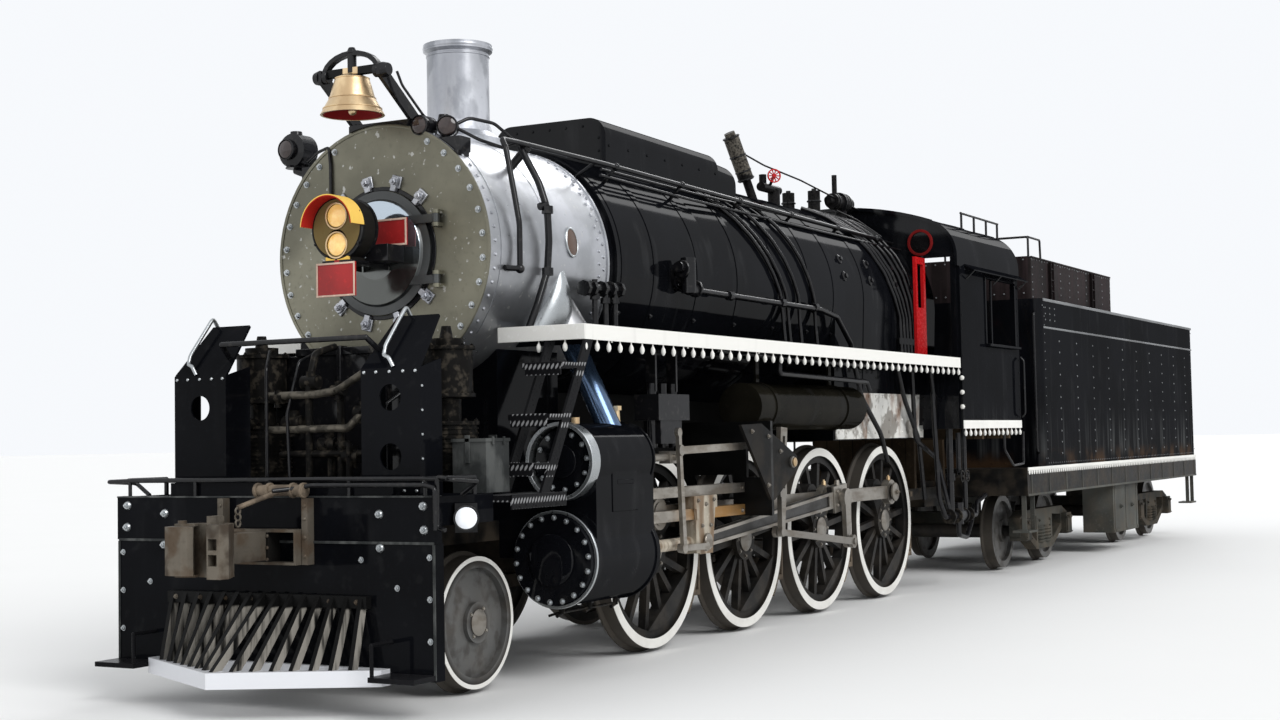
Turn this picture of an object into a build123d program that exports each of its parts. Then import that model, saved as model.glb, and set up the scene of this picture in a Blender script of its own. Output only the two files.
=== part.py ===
from build123d import *
from math import atan2, cos, degrees, hypot, radians, sin, sqrt
import os

# Steam locomotive, 2-8-0, with its eight-wheeled tender. Millimetres.
# X is measured forward from the first driving axle, Y to the left and Z up from the rail head.
# place() then moves everything so that the origin lies midway between the coupler faces,
# at the height of the wheel flange tips.

# Ends and rails
FRONT_COUPLER_FACE = 4080
REAR_COUPLER_FACE = -16950
FLANGE_HEIGHT = 28.6
BACK_TO_BACK = 1363
TYRE_WIDTH = 140
HALF_WIDTH = 1371

# Axles
DRIVER_RADIUS = 724
DRIVER_SPACING = 1574.8
SMALL_WHEEL_RADIUS = 419
PONY_AXLE_X = 2362
DRIVER_AXLES = [-DRIVER_SPACING * i for i in range(4)]
MAIN_AXLE = 2
AXLE_RADIUS = 100
JOURNAL_GAP = 0.5
PIN_GAP = 0.4

# Boiler
BOILER_Z = 2826
SMOKEBOX_RADIUS = 867
SMOKEBOX_FRONT = 2223
SMOKEBOX_REAR = 680
SHELL = 25
BARREL_RADIUS = 900
FIREBOX_RADIUS = 955
TAPER_START = -900
FIREBOX_FRONT = -3300
FIREBOX_BOTTOM = 1510
FIREBOX_BOTTOM_HALF = 900
BACKHEAD_X = -5950

# Main frame
FRAME_INNER = 480
FRAME_OUTER = 580
FRAME_REAR = -7250
DRAG_FRONT = -6800
DRAG_Z = (760, 1040)
FRAME_FRONT = 3330
TOP_RAIL = (860, 980)
FRONT_RAIL = (900, 1030)
LOWER_RAIL = (420, 520)
PEDESTAL_HALF = 230
BOX_HALF = 125
BOX_BOTTOM = 600
BOX_OUTER = 610

# Cylinders, rods and cranks
CYLINDER_Z = 780
CYLINDER_RADIUS = 308
CYLINDER_INSET = 3
CYLINDER_Y = HALF_WIDTH - CYLINDER_INSET - CYLINDER_RADIUS
CYLINDER_ENDS = (950, 1800)
CHEST_Y = CYLINDER_Y + 50
CHEST_Z = 1421
CHEST_RADIUS = 248
CHEST_FRONT = 1730
CRANK = 330
LEFT_CRANK_ANGLE = 58
QUARTER = 90
PIN_RADIUS = 70
SIDE_ROD_Y = (900, 970)
SIDE_ROD_DEPTH = 120
MAIN_ROD_LENGTH = 2720
MAIN_ROD_HALF = 43
MAIN_ROD_INNER = CYLINDER_Y - MAIN_ROD_HALF
MAIN_ROD_OUTER = CYLINDER_Y + MAIN_ROD_HALF
UNION_LINK_Y = (MAIN_ROD_OUTER + 52, MAIN_ROD_OUTER + 77)
RETURN_CRANK_Y = (MAIN_ROD_OUTER + 22, MAIN_ROD_OUTER + 62)
ECCENTRIC_ROD_Y = (MAIN_ROD_OUTER + 77, MAIN_ROD_OUTER + 112)
LEVER_Y = (MAIN_ROD_OUTER + 77, MAIN_ROD_OUTER + 107)
RADIUS_BAR_Y = (MAIN_ROD_OUTER + 107, MAIN_ROD_OUTER + 122)
LINK_Y = (MAIN_ROD_OUTER + 122, MAIN_ROD_OUTER + 162)
BRACKET_Y = (MAIN_ROD_OUTER + 207, MAIN_ROD_OUTER + 232)
OPEN_PIVOT_GAP = 8
CRANK_PIN_END = 25
FRONT_PIN_END = 5
ECCENTRIC_RADIUS = 200
ECCENTRIC_LAG = 88

# Cab
CAB_FRONT = -5500
CAB_REAR = -7480
CAB_WALL = 40
CAB_BOTTOM = 1600
EAVE_Z = 3300
ROOF_Z = 3910
ROOF_ARC = 3239
ROOF_SHOULDER = 400
ROOF_SHEET = 30
CAB_DOOR = (HALF_WIDTH - 371, HALF_WIDTH - 91)
CAB_DOOR_Z = (2340, 3330)

# Running boards and front deck
BOARD_Z = 2310
BOARD_SHEET = 30
BOARD_EDGE = 100
BOARD_FRONT = 1891
BEAM_X = 3386
BEAM_SHEET = 56
BEAM_HALF = 1240
DECK_Z = 1250
DECK_SHEET = 40
DECK_REAR = 2795
BEAM_BOTTOM = 980
PILOT_HALF = 1225
PILOT_BOTTOM = 190
PILOT_SHEET = 30

# Tender
TENDER_FRONT = -7650
TENDER_REAR = -16320
TANK_FRONT = -8350
TANK_BOTTOM = 1150
TANK_DECK = 2750
COPING_Z = 3080
COPING = 30
BUNKER = (-12830, -9050, 1050, 3640)
SILL_Z = (850, 1120)
TRUCK_X = (-9300, -14700)
TRUCK_HALF_BASE = 838
DRAWBAR_PIN_X = -7150
DRAWBAR_Z = 900


def block(x0, x1, y0, y1, z0, z1):
    middle = Pos((x0 + x1) / 2, (y0 + y1) / 2, (z0 + z1) / 2)
    return middle * Box(abs(x1 - x0), abs(y1 - y0), abs(z1 - z0))


def rod_x(x0, x1, y, z, r):
    return Pos((x0 + x1) / 2, y, z) * Rot(0, 90, 0) * Cylinder(r, abs(x1 - x0))


def rod_y(x, y0, y1, z, r):
    return Pos(x, (y0 + y1) / 2, z) * Rot(90, 0, 0) * Cylinder(r, abs(y1 - y0))


def rod_z(x, y, z0, z1, r):
    return Pos(x, y, (z0 + z1) / 2) * Cylinder(r, abs(z1 - z0))


def rod_between(start, end, r, end_r=None):
    a = Vector(*start)
    b = Vector(*end)
    along = b - a
    if end_r is None:
        bar = Cylinder(r, along.length, align=(Align.CENTER, Align.CENTER, Align.MIN))
    else:
        bar = Cone(r, end_r, along.length, align=(Align.CENTER, Align.CENTER, Align.MIN))
    return Plane(origin=a, z_dir=along) * bar


def pipe(points, r):
    # straight runs of round bar with a ball at each bend
    run = None
    for start, end in zip(points, points[1:]):
        bar = rod_between(start, end, r)
        run = bar if run is None else run + bar
    for bend in points[1:-1]:
        run += Pos(*bend) * Sphere(r)
    return run


def side_plate(points, y0, y1):
    face = Plane.XZ.offset(-y0) * Polygon(*points, align=None)
    return extrude(face, amount=y1 - y0, dir=(0, 1, 0))


def cross_plate(points, x0, x1):
    face = Plane.YZ.offset(x0) * Polygon(*points, align=None)
    return extrude(face, amount=x1 - x0, dir=(1, 0, 0))


def flat_plate(points, z0, z1):
    return extrude(Pos(0, 0, z0) * Polygon(*points, align=None), amount=z1 - z0, dir=(0, 0, 1))


def turned(points, x, y):
    # points are (radius, height) pairs, turned about the vertical through (x, y)
    face = Plane.XZ * Polygon(*points, align=None)
    return Pos(x, y, 0) * revolve(face, Axis.Z)


def mirrored(shape):
    return mirror(shape, about=Plane.XZ)


def pair(shape):
    return [shape, mirrored(shape)]


def on_circle(x, z, r, angle):
    return (x + r * cos(radians(angle)), z + r * sin(radians(angle)))


def crossing(a, ra, b, rb, side):
    # where a circle about a meets a circle about b, on the chosen side of the line from a to b
    dx = b[0] - a[0]
    dz = b[1] - a[1]
    d = hypot(dx, dz)
    along = (ra * ra - rb * rb + d * d) / (2 * d)
    off = side * sqrt(ra * ra - along * along)
    return (a[0] + (along * dx - off * dz) / d, a[1] + (along * dz + off * dx) / d)


def strap(a, b, y0, y1, depth_a, depth_b, eye_a, eye_b):
    # flat rod in a fore-and-aft plane with a round eye at each end
    dx = b[0] - a[0]
    dz = b[1] - a[1]
    length = hypot(dx, dz)
    nx = -dz / length
    nz = dx / length
    corners = [
        (a[0] + nx * depth_a / 2, a[1] + nz * depth_a / 2),
        (b[0] + nx * depth_b / 2, b[1] + nz * depth_b / 2),
        (b[0] - nx * depth_b / 2, b[1] - nz * depth_b / 2),
        (a[0] - nx * depth_a / 2, a[1] - nz * depth_a / 2),
    ]
    bar = side_plate(corners, y0, y1)
    if eye_a:
        bar += rod_y(a[0], y0, y1, a[1], eye_a)
    if eye_b:
        bar += rod_y(b[0], y0, y1, b[1], eye_b)
    return bar


MIDDLE_X = (FRONT_COUPLER_FACE + REAR_COUPLER_FACE) / 2


def place(shape):
    return Pos(-MIDDLE_X, 0, FLANGE_HEIGHT) * shape


def save(name, shapes):
    solids = [place(solid) for shape in shapes for solid in shape.solids()]
    export_step(solids[0] if len(solids) == 1 else Compound(solids), f"parts/{name}.step")


# Wheels

SPOKE_COUNT = 14
DRIVER_RIM_INNER = 590
DRIVER_RIM_OUTER = 650
HUB_RADIUS = 175
WHEEL_BACK = BACK_TO_BACK / 2
WHEEL_FACE = WHEEL_BACK + TYRE_WIDTH


def tyre_profile(tread, inner):
    # (radius, distance out from the wheel's back face)
    tip = tread + FLANGE_HEIGHT
    return [(inner, 0), (tip, 6), (tip, 22), (tread + 3, 38), (tread - 3, TYRE_WIDTH), (inner, TYRE_WIDTH)]


def driver_wheel(crank_angle, weight_half_angle):
    # made about Z with the outer face up, crank_angle seen from the outer side with x to the front
    face = Plane.XZ * Polygon(*tyre_profile(DRIVER_RADIUS, DRIVER_RIM_OUTER), align=None)
    wheel = revolve(face, Axis.Z)
    rim = Pos(0, 0, 70) * (Cylinder(DRIVER_RIM_OUTER, 90) - Cylinder(DRIVER_RIM_INNER, 90))
    spoke = Pos(0, 0, 70) * Box(DRIVER_RIM_INNER + 10, 52, 62, align=(Align.MIN, Align.CENTER, Align.CENTER))
    hub = Pos(0, 0, 65) * Cylinder(HUB_RADIUS, 150)
    for i in range(SPOKE_COUNT):
        wheel += Rot(0, 0, (i + 0.5) * 360 / SPOKE_COUNT + crank_angle) * spoke
    crank_arm = Rot(0, 0, crank_angle) * Pos(CRANK / 2, 0, 70) * Box(CRANK, 230, 134)
    pin_x, pin_y = on_circle(0, 0, CRANK, crank_angle)
    pin_boss = Pos(pin_x, pin_y, 70) * Cylinder(125, 134)
    kept = Rot(0, 0, crank_angle) * Pos(400 - weight_half_angle * 10, 0, 0) * Box(1400, 1400, 120)
    weight = Pos(0, 0, 72) * (Cylinder(DRIVER_RIM_INNER + 5, 110) - kept)
    return wheel + rim + hub + crank_arm + pin_boss + weight


def crank_pin(crank_angle, pin_out):
    pin_x, pin_y = on_circle(0, 0, CRANK, crank_angle)
    length = pin_out - WHEEL_BACK - 100
    pin = Pos(pin_x, pin_y, 100 + length / 2) * Cylinder(PIN_RADIUS, length)
    return pin


def to_right_side(shape, axle_x, axle_z):
    # local x to the front, local y up, local z out to the right
    return Pos(axle_x, -WHEEL_BACK, axle_z) * Rot(90, 0, 0) * shape


def driver_wheelset(axle_x, weight_half_angle, pin_out):
    sides = []
    for crank_angle in (LEFT_CRANK_ANGLE, LEFT_CRANK_ANGLE - QUARTER):
        wheel = driver_wheel(crank_angle, weight_half_angle) + crank_pin(crank_angle, pin_out)
        sides.append(to_right_side(wheel, axle_x, DRIVER_RADIUS))
    axle = rod_y(axle_x, -WHEEL_BACK, WHEEL_BACK, DRIVER_RADIUS, AXLE_RADIUS)
    return mirrored(sides[0]) + sides[1] + axle


def small_wheelset(axle_x, journal_out):
    # solid plate wheel with a dished web
    profile = tyre_profile(SMALL_WHEEL_RADIUS, 345) + [
        (345, 95),
        (130, 118),
        (130, TYRE_WIDTH + 8),
        (0, TYRE_WIDTH + 8),
        (0, 0),
        (130, 0),
        (130, 60),
        (345, 45),
    ]
    face = Plane.XZ * Polygon(*profile, align=None)
    wheel = to_right_side(revolve(face, Axis.Z), axle_x, SMALL_WHEEL_RADIUS)
    axle = rod_y(axle_x, -WHEEL_BACK, WHEEL_BACK, SMALL_WHEEL_RADIUS, 80)
    wheelset = wheel + mirrored(wheel) + axle
    if journal_out:
        wheelset += rod_y(axle_x, -journal_out, journal_out, SMALL_WHEEL_RADIUS, JOURNAL_RADIUS)
    return wheelset


JOURNAL_RADIUS = 62
JOURNAL_OUT = 1040


# Main frame

def engine_frame():
    side = block(FRAME_REAR, 900, FRAME_INNER, FRAME_OUTER, *TOP_RAIL)
    side += block(900, FRAME_FRONT, FRAME_INNER, FRAME_OUTER, *FRONT_RAIL)
    side += block(820, 900, FRAME_INNER, FRAME_OUTER, TOP_RAIL[0], FRONT_RAIL[1])
    last = DRIVER_AXLES[-1]
    side += block(last - PEDESTAL_HALF, PEDESTAL_HALF, FRAME_INNER, FRAME_OUTER, *LOWER_RAIL)
    for x in DRIVER_AXLES:
        jaws = block(x - PEDESTAL_HALF, x + PEDESTAL_HALF, FRAME_INNER, FRAME_OUTER, LOWER_RAIL[0], TOP_RAIL[1])
        side += jaws - block(x - BOX_HALF, x + BOX_HALF, FRAME_INNER, FRAME_OUTER, LOWER_RAIL[1], TOP_RAIL[0])
        side += block(x - BOX_HALF, x + BOX_HALF, FRAME_INNER - 20, BOX_OUTER, BOX_BOTTOM, TOP_RAIL[0])
    frame = side + mirrored(side)
    for x in (-0.5, -1.5, -2.5):
        middle = x * DRIVER_SPACING
        frame += block(middle - 40, middle + 40, -FRAME_INNER, FRAME_INNER, 560, TOP_RAIL[1])
    frame += block(3130, FRAME_FRONT, -FRAME_INNER, FRAME_INNER, *FRONT_RAIL)
    frame += block(PONY_PIVOT_X - 95, PONY_PIVOT_X + 95, -FRAME_INNER, FRAME_INNER, 640, TOP_RAIL[1])
    frame += block(-5900, -5800, -FRAME_INNER, FRAME_INNER, *TOP_RAIL)
    drag = block(FRAME_REAR, DRAG_FRONT, -FRAME_INNER, FRAME_INNER, *DRAG_Z)
    slot = block(FRAME_REAR, DRAWBAR_PIN_X + 120, -200, 200, DRAWBAR_Z - 50, DRAWBAR_Z + 50)
    frame += drag - slot
    frame += rod_z(DRAWBAR_PIN_X, 0, *DRAG_Z, DRAWBAR_PIN_RADIUS)
    for x in DRIVER_AXLES:
        frame -= rod_y(x, -BOX_OUTER, BOX_OUTER, DRIVER_RADIUS, AXLE_RADIUS + JOURNAL_GAP)
    frame += rod_z(PONY_PIVOT_X, 0, 470, 640, PONY_PIVOT_RADIUS)
    return frame


PONY_PIVOT_X = 980
PONY_PIVOT_RADIUS = 40
DRAWBAR_PIN_RADIUS = 45


# Boiler

def smokebox():
    shell = rod_x(SMOKEBOX_REAR, SMOKEBOX_FRONT, 0, BOILER_Z, SMOKEBOX_RADIUS)
    shell -= rod_x(SMOKEBOX_REAR + SHELL, SMOKEBOX_FRONT - SHELL, 0, BOILER_Z, SMOKEBOX_RADIUS - SHELL)
    shell -= rod_x(SMOKEBOX_FRONT - 2 * SHELL, SMOKEBOX_FRONT + 1, 0, BOILER_Z, DOOR_RADIUS - 30)
    for z in DOOR_HINGE_Z:
        shell += hinge_lugs(z)
    return shell


DOOR_RADIUS = 415
DOOR_GAP = 0.3
DOOR_THICK = 30
HINGE_Y = 475
HINGE_X = SMOKEBOX_FRONT + 45
DOOR_HINGE_Z = (BOILER_Z - 200, BOILER_Z + 200)


def smokebox_door():
    x0 = SMOKEBOX_FRONT + DOOR_GAP
    # (radius, forward of the door's seat): flat rim, then a shallow dish
    profile = [(0, 0), (DOOR_RADIUS, 0), (DOOR_RADIUS, 26), (360, 30), (345, 48), (180, 66), (0, 72)]
    dish = revolve(Plane.XZ * Polygon(*profile, align=None), Axis.Z)
    door = Pos(x0, 0, BOILER_Z) * Rot(0, 90, 0) * dish
    for z in DOOR_HINGE_Z:
        arm = block(x0 + 28, x0 + 52, 150, HINGE_Y, z - 28, z + 28)
        eye = rod_z(HINGE_X, HINGE_Y, z - 28, z + 28, 26)
        door += (arm + eye) - rod_z(HINGE_X, HINGE_Y, z - 40, z + 40, 12 + PIN_GAP)
    return door


def hinge_lugs(z):
    lugs = rod_z(HINGE_X, HINGE_Y, z - 55, z + 55, 12)
    for z0, z1 in ((z - 55, z - 30), (z + 30, z + 55)):
        lugs += rod_z(HINGE_X, HINGE_Y, z0, z1, 26)
        lugs += block(SMOKEBOX_FRONT, HINGE_X, HINGE_Y - 26, HINGE_Y + 26, z0, z1)
    return lugs


LAMP_X = (2520, 2700)
LAMP_Z = 2952
LAMP_RADIUS = 195


def headlight():
    body = rod_x(LAMP_X[0], LAMP_X[1], 0, LAMP_Z, LAMP_RADIUS)
    for dz in (-88, 88):
        body -= rod_x(LAMP_X[1] - 45, LAMP_X[1] + 1, 0, LAMP_Z + dz, 80)
    hood = rod_x(LAMP_X[1] - 20, LAMP_X[1] + 110, 0, LAMP_Z, LAMP_RADIUS + 14)
    hood -= rod_x(LAMP_X[1] - 21, LAMP_X[1] + 111, 0, LAMP_Z, LAMP_RADIUS)
    hood -= block(LAMP_X[1] - 30, LAMP_X[1] + 120, -300, 300, LAMP_Z - 300, LAMP_Z + 10)
    shelf = block(SMOKEBOX_FRONT + 60, LAMP_X[1], -90, 90, LAMP_Z - LAMP_RADIUS - 12, LAMP_Z - LAMP_RADIUS + 10)
    return body + hood + (shelf - smokebox_door())


def number_plates():
    low = block(LAMP_X[1] + 0.3, LAMP_X[1] + 14, -155, 155, 2508, 2728)
    stem = block(LAMP_X[1] - 14, LAMP_X[1] + 0.3, -20, 20, 2560, LAMP_Z - LAMP_RADIUS - 12)
    high = block(2325, 2335, -45, 289, 2856, 3037)
    legs = block(SMOKEBOX_FRONT + 40, 2325, 200, 224, 2900, 2924)
    return [low + stem, high + (legs - smokebox_door())]


STACK_X = 1297


def stack():
    profile = [
        (195, 3640),
        (330, 3640),
        (330, 3700),
        (300, 3712),
        (240, 3760),
        (222, 3830),
        (222, 4325),
        (247, 4345),
        (247, 4391),
        (195, 4391),
    ]
    return turned(profile, STACK_X, 0) - rod_x(0, SMOKEBOX_FRONT, 0, BOILER_Z, SMOKEBOX_RADIUS)


BELL_X = 2520
BELL_PIVOT_Z = 3985
BELL_MOUTH_Z = 3712
BELL_RADIUS = 211
BELL_PIVOT_Y = 240


def bell():
    # (radius, height above the mouth): lip, waist, shoulder and crown, inside and out
    outer = [(BELL_RADIUS, 0), (190, 40), (150, 110), (128, 190), (110, 245), (60, 268), (0, 270)]
    inner = [(0, 250), (52, 248), (95, 232), (112, 185), (134, 108), (172, 38), (BELL_RADIUS - 16, 0)]
    points = [(r, BELL_MOUTH_Z + h) for r, h in outer + inner]
    shape = turned(points, BELL_X, 0)
    yoke = block(BELL_X - 22, BELL_X + 22, -BELL_PIVOT_Y + 20, BELL_PIVOT_Y - 20, BELL_PIVOT_Z - 10, BELL_PIVOT_Z + 40)
    yoke += rod_z(BELL_X, 0, BELL_MOUTH_Z + 255, BELL_PIVOT_Z + 60, 24)
    yoke += rod_y(BELL_X, -BELL_PIVOT_Y - 25, BELL_PIVOT_Y + 25, BELL_PIVOT_Z, 16)
    clapper = rod_z(BELL_X, 0, BELL_MOUTH_Z + 20, BELL_MOUTH_Z + 255, 10)
    clapper += Pos(BELL_X, 0, BELL_MOUTH_Z + 30) * Sphere(30)
    return shape + yoke + clapper


def bell_stand():
    foot = block(2000, SMOKEBOX_FRONT + 20, -240, 240, 3600, 3705)
    foot -= rod_x(1900, SMOKEBOX_FRONT + 100, 0, BOILER_Z, SMOKEBOX_RADIUS)
    foot -= block(SMOKEBOX_FRONT, SMOKEBOX_FRONT + 100, -300, 300, 3500, 3640)
    stand = foot
    for side in (-1, 1):
        y0 = side * BELL_PIVOT_Y - 14
        arm = side_plate([(2060, 3690), (2200, 3690), (2560, 3950), (2560, 4020), (2480, 4020), (2440, 3970)], y0, y0 + 28)
        stand += arm - rod_y(BELL_X, y0 - 1, y0 + 29, BELL_PIVOT_Z, 16 + PIN_GAP)
    return stand


def boiler_barrel():
    # (radius, station) of the lagged barrel: cylindrical front ring, then the taper course
    points = [
        (0, FIREBOX_FRONT),
        (FIREBOX_RADIUS, FIREBOX_FRONT),
        (FIREBOX_RADIUS, -2500),
        (BARREL_RADIUS, TAPER_START),
        (BARREL_RADIUS, SMOKEBOX_REAR - 60),
        (SMOKEBOX_RADIUS, SMOKEBOX_REAR - 60),
        (SMOKEBOX_RADIUS, SMOKEBOX_REAR),
        (0, SMOKEBOX_REAR),
    ]
    face = Plane.XZ * Polygon(*points, align=None)
    return Pos(0, 0, BOILER_Z) * Rot(0, 90, 0) * revolve(face, Axis.Z)


def firebox_outline(grow):
    sides = [
        (FIREBOX_RADIUS + grow, BOILER_Z),
        (-FIREBOX_RADIUS - grow, BOILER_Z),
        (-FIREBOX_BOTTOM_HALF - grow, FIREBOX_BOTTOM - grow),
        (FIREBOX_BOTTOM_HALF + grow, FIREBOX_BOTTOM - grow),
    ]
    return Polygon(*sides, align=None) + Pos(0, BOILER_Z) * Circle(FIREBOX_RADIUS + grow)


def firebox():
    return extrude(Plane.YZ.offset(BACKHEAD_X) * firebox_outline(0), amount=FIREBOX_FRONT - BACKHEAD_X, dir=(1, 0, 0))


# fore-and-aft ends, half width, top heights at the front and rear end, and top edge radius of the two casing lengths
CASING_MAIN = (62, -1860, 500, 4020, 3985, 150)
CASING_TAIL = (-1860, -2290, 460, 3970, 3940, 190)
CASING_BASE = 3400


def dome_casing():
    lengths = []
    for x_front, x_rear, half, top_front, top_rear, round_top in (CASING_MAIN, CASING_TAIL):
        points = [(x_front, CASING_BASE), (x_front, top_front), (x_rear, top_rear), (x_rear, CASING_BASE)]
        body = side_plate(points, -half, half)
        corners = [e for e in body.edges() if e.center().Z > top_rear - 1 and abs(abs(e.center().Y) - half) < 1]
        lengths.append(fillet(corners, round_top))
    return (lengths[0] + lengths[1]) - boiler_barrel()


WHISTLE = ((-3714, 0, 3700), (-3600, -55, 4000), (-3440, -132, 4400), (-3420, -140, 4440))
TURRET_X = -4100
TURRET_TOP = 3960
MANIFOLD_Y = 230
MANIFOLD_Z = 3930


def steam_fittings():
    base, neck, shoulder, tip = WHISTLE
    whistle = rod_between(base, neck, 42) + rod_between(neck, shoulder, 75) + rod_between(shoulder, tip, 52)
    turret = rod_z(TURRET_X, 0, 3740, TURRET_TOP, 60) + rod_x(TURRET_X - 100, TURRET_X + 300, 0, TURRET_TOP, 45)
    turret += rod_between((TURRET_X + 120, 0, TURRET_TOP), (TURRET_X + 204, 100, TURRET_TOP + 106), 14)
    turret += rod_z(TURRET_X + 250, 0, TURRET_TOP, TURRET_TOP + 120, 36)
    pops = [rod_z(-4760, y, 3700, 4010, 62) + rod_z(-4760, y, 3740, 3800, 85) for y in (-140, 140)]
    manifold = rod_x(-5420, -5000, MANIFOLD_Y, MANIFOLD_Z, 78) + rod_x(-5300, -5180, MANIFOLD_Y, MANIFOLD_Z, 98)
    manifold += rod_x(-5000, -4900, MANIFOLD_Y, MANIFOLD_Z, 40) + rod_x(-5440, -5420, MANIFOLD_Y, MANIFOLD_Z, 50)
    manifold += rod_z(-5240, MANIFOLD_Y, 3700, MANIFOLD_Z, 60)
    manifold += rod_z(-5080, MANIFOLD_Y, MANIFOLD_Z, MANIFOLD_Z + 270, 26)
    shapes = [whistle, turret, manifold] + pops
    cutter = firebox()
    return [shape - cutter for shape in shapes]


CHECK_VALVE_X = -300
FEED_PIPE_RADIUS = 24


def feed_pipes():
    # boiler check valve on a flange, and the delivery pipe that comes up to it from below the running board
    valve = rod_y(CHECK_VALVE_X, 840, 1000, 2790, 62) + rod_y(CHECK_VALVE_X, 880, 925, 2790, 100)
    valve += rod_z(CHECK_VALVE_X, 1000, 2660, 2930, 58) + rod_x(CHECK_VALVE_X - 130, CHECK_VALVE_X, 1000, 2690, 46)
    valve += rod_x(CHECK_VALVE_X, CHECK_VALVE_X + 170, 1000, 2850, 40)
    route = [(CHECK_VALVE_X - 100, 1000, 2690), (-2800, 1010, 2670), (-3190, 1010, 2620), (-3500, 1010, 2390)]
    valve += pipe(route + [(-3540, 1010, BOARD_Z)], FEED_PIPE_RADIUS)
    for x in (-1000, -2700):
        valve += rod_x(x - 30, x + 30, 1005, 2680, 36)
    return valve - boiler_barrel() - running_board()


HANDRAIL = ((480, 738, 3577), (-5020, 738, 3500))
HANDRAIL_RADIUS = 17
STANCHIONS = (330, -720, -1780, -2840, -3900, -4900)


def handrail():
    rail = rod_between(*HANDRAIL, HANDRAIL_RADIUS)
    (x0, y, z0), (x1, _, z1) = HANDRAIL
    for x in STANCHIONS:
        z = z0 + (z1 - z0) * (x - x0) / (x1 - x0)
        knob = Vector(x, y, z)
        foot = Vector(x, 600, BOILER_Z + 600 * (z - BOILER_Z) / y)
        rail += rod_between(foot, knob, 14) + Pos(*knob) * Sphere(30)
    return rail - boiler_barrel() - firebox()


# Cab

def cab_outline(inset):
    box = Pos(0, (CAB_BOTTOM + ROOF_Z) / 2) * Rectangle(2 * (HALF_WIDTH - inset), ROOF_Z - CAB_BOTTOM)
    arc = Pos(0, ROOF_Z - ROOF_ARC) * Circle(ROOF_ARC - inset)
    outline = box & arc
    return fillet(outline.vertices().group_by(Axis.Y)[-1], ROOF_SHOULDER - inset)


def cab_slab(x0, x1, inset):
    return extrude(Plane.YZ.offset(x0) * cab_outline(inset), amount=x1 - x0, dir=(1, 0, 0))


ROUND_WINDOW = (CAB_DOOR[0] - 20, 3495, 110)
CAB_PIVOT_X = CAB_FRONT + 16
CAB_PIVOT_RADIUS = 12


def cab_front():
    wall = cab_slab(CAB_FRONT - CAB_WALL, CAB_FRONT, ROOF_SHEET)
    hole = extrude(
        Plane.YZ.offset(CAB_FRONT - 100) * firebox_outline(0.3), amount=200, dir=(1, 0, 0)
    )
    wall -= hole
    wall -= block(CAB_FRONT - 100, CAB_FRONT + 100, -FIREBOX_RADIUS, FIREBOX_RADIUS, CAB_BOTTOM - 10, 1640)
    y, z, r = ROUND_WINDOW
    for side in (1, -1):
        y0, y1 = sorted((side * (CAB_DOOR[0] - 8), side * (CAB_DOOR[1] + 8)))
        wall -= block(CAB_FRONT - 100, CAB_FRONT + 100, y0, y1, CAB_DOOR_Z[0] - 6, CAB_DOOR_Z[1] + 6)
        wall -= rod_x(CAB_FRONT - 100, CAB_FRONT + 100, side * y, z, r)
        for z0, z1 in ((CAB_DOOR_Z[1] + 0.5, CAB_DOOR_Z[1] + 26), (CAB_DOOR_Z[0] - 26, CAB_DOOR_Z[0] - 0.5)):
            ear = block(CAB_FRONT, CAB_PIVOT_X, side * (CAB_DOOR[0] - 16), side * (CAB_DOOR[0] + 16), z0, z1)
            ear += rod_z(CAB_PIVOT_X, side * CAB_DOOR[0], z0, z1, 16)
            wall += ear + block(
                CAB_FRONT - 10, CAB_FRONT, side * (CAB_DOOR[0] - 40), side * (CAB_DOOR[0] + 16), z0, z1
            )
            wall -= rod_z(CAB_PIVOT_X, side * CAB_DOOR[0], z0 - 1, z1 + 1, 8 + PIN_GAP)
    return wall


def cab_door():
    panel = block(CAB_PIVOT_X, CAB_PIVOT_X + 278, CAB_DOOR[0], CAB_DOOR[0] + 30, *CAB_DOOR_Z)
    panel -= block(CAB_PIVOT_X + 60, CAB_PIVOT_X + 228, CAB_DOOR[0], CAB_DOOR[0] + 30, 2820, 3260)
    post = rod_z(CAB_PIVOT_X, CAB_DOOR[0], *CAB_DOOR_Z, CAB_PIVOT_RADIUS)
    pivots = rod_z(CAB_PIVOT_X, CAB_DOOR[0], CAB_DOOR_Z[0] - 22, CAB_DOOR_Z[1] + 22, 8)
    return panel + post + pivots


CAB_WINDOW = (-7330, -6350, 2480, 3170)


def cab_sides():
    x0, x1, z0, z1 = CAB_WINDOW
    wall = block(CAB_REAR, CAB_FRONT - CAB_WALL, HALF_WIDTH - CAB_WALL, HALF_WIDTH, CAB_BOTTOM, EAVE_Z - 60)
    wall -= block(x0, x1, HALF_WIDTH - CAB_WALL, HALF_WIDTH, z0, z1)
    return pair(wall)


def cab_roof():
    slab = cab_slab(CAB_REAR - 60, CAB_FRONT + 20, 0) - cab_slab(CAB_REAR - 80, CAB_FRONT + 40, ROOF_SHEET)
    return slab - block(CAB_REAR - 100, CAB_FRONT + 100, -2000, 2000, CAB_BOTTOM - 10, EAVE_Z - 60)


AWNING = (-7540, -5700)
AWNING_OUT = 105


def awning():
    points = [
        (HALF_WIDTH, 3270),
        (HALF_WIDTH + AWNING_OUT, 3208),
        (HALF_WIDTH + AWNING_OUT, 3196),
        (HALF_WIDTH, 3252),
    ]
    return cross_plate(points, *AWNING)


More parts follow.
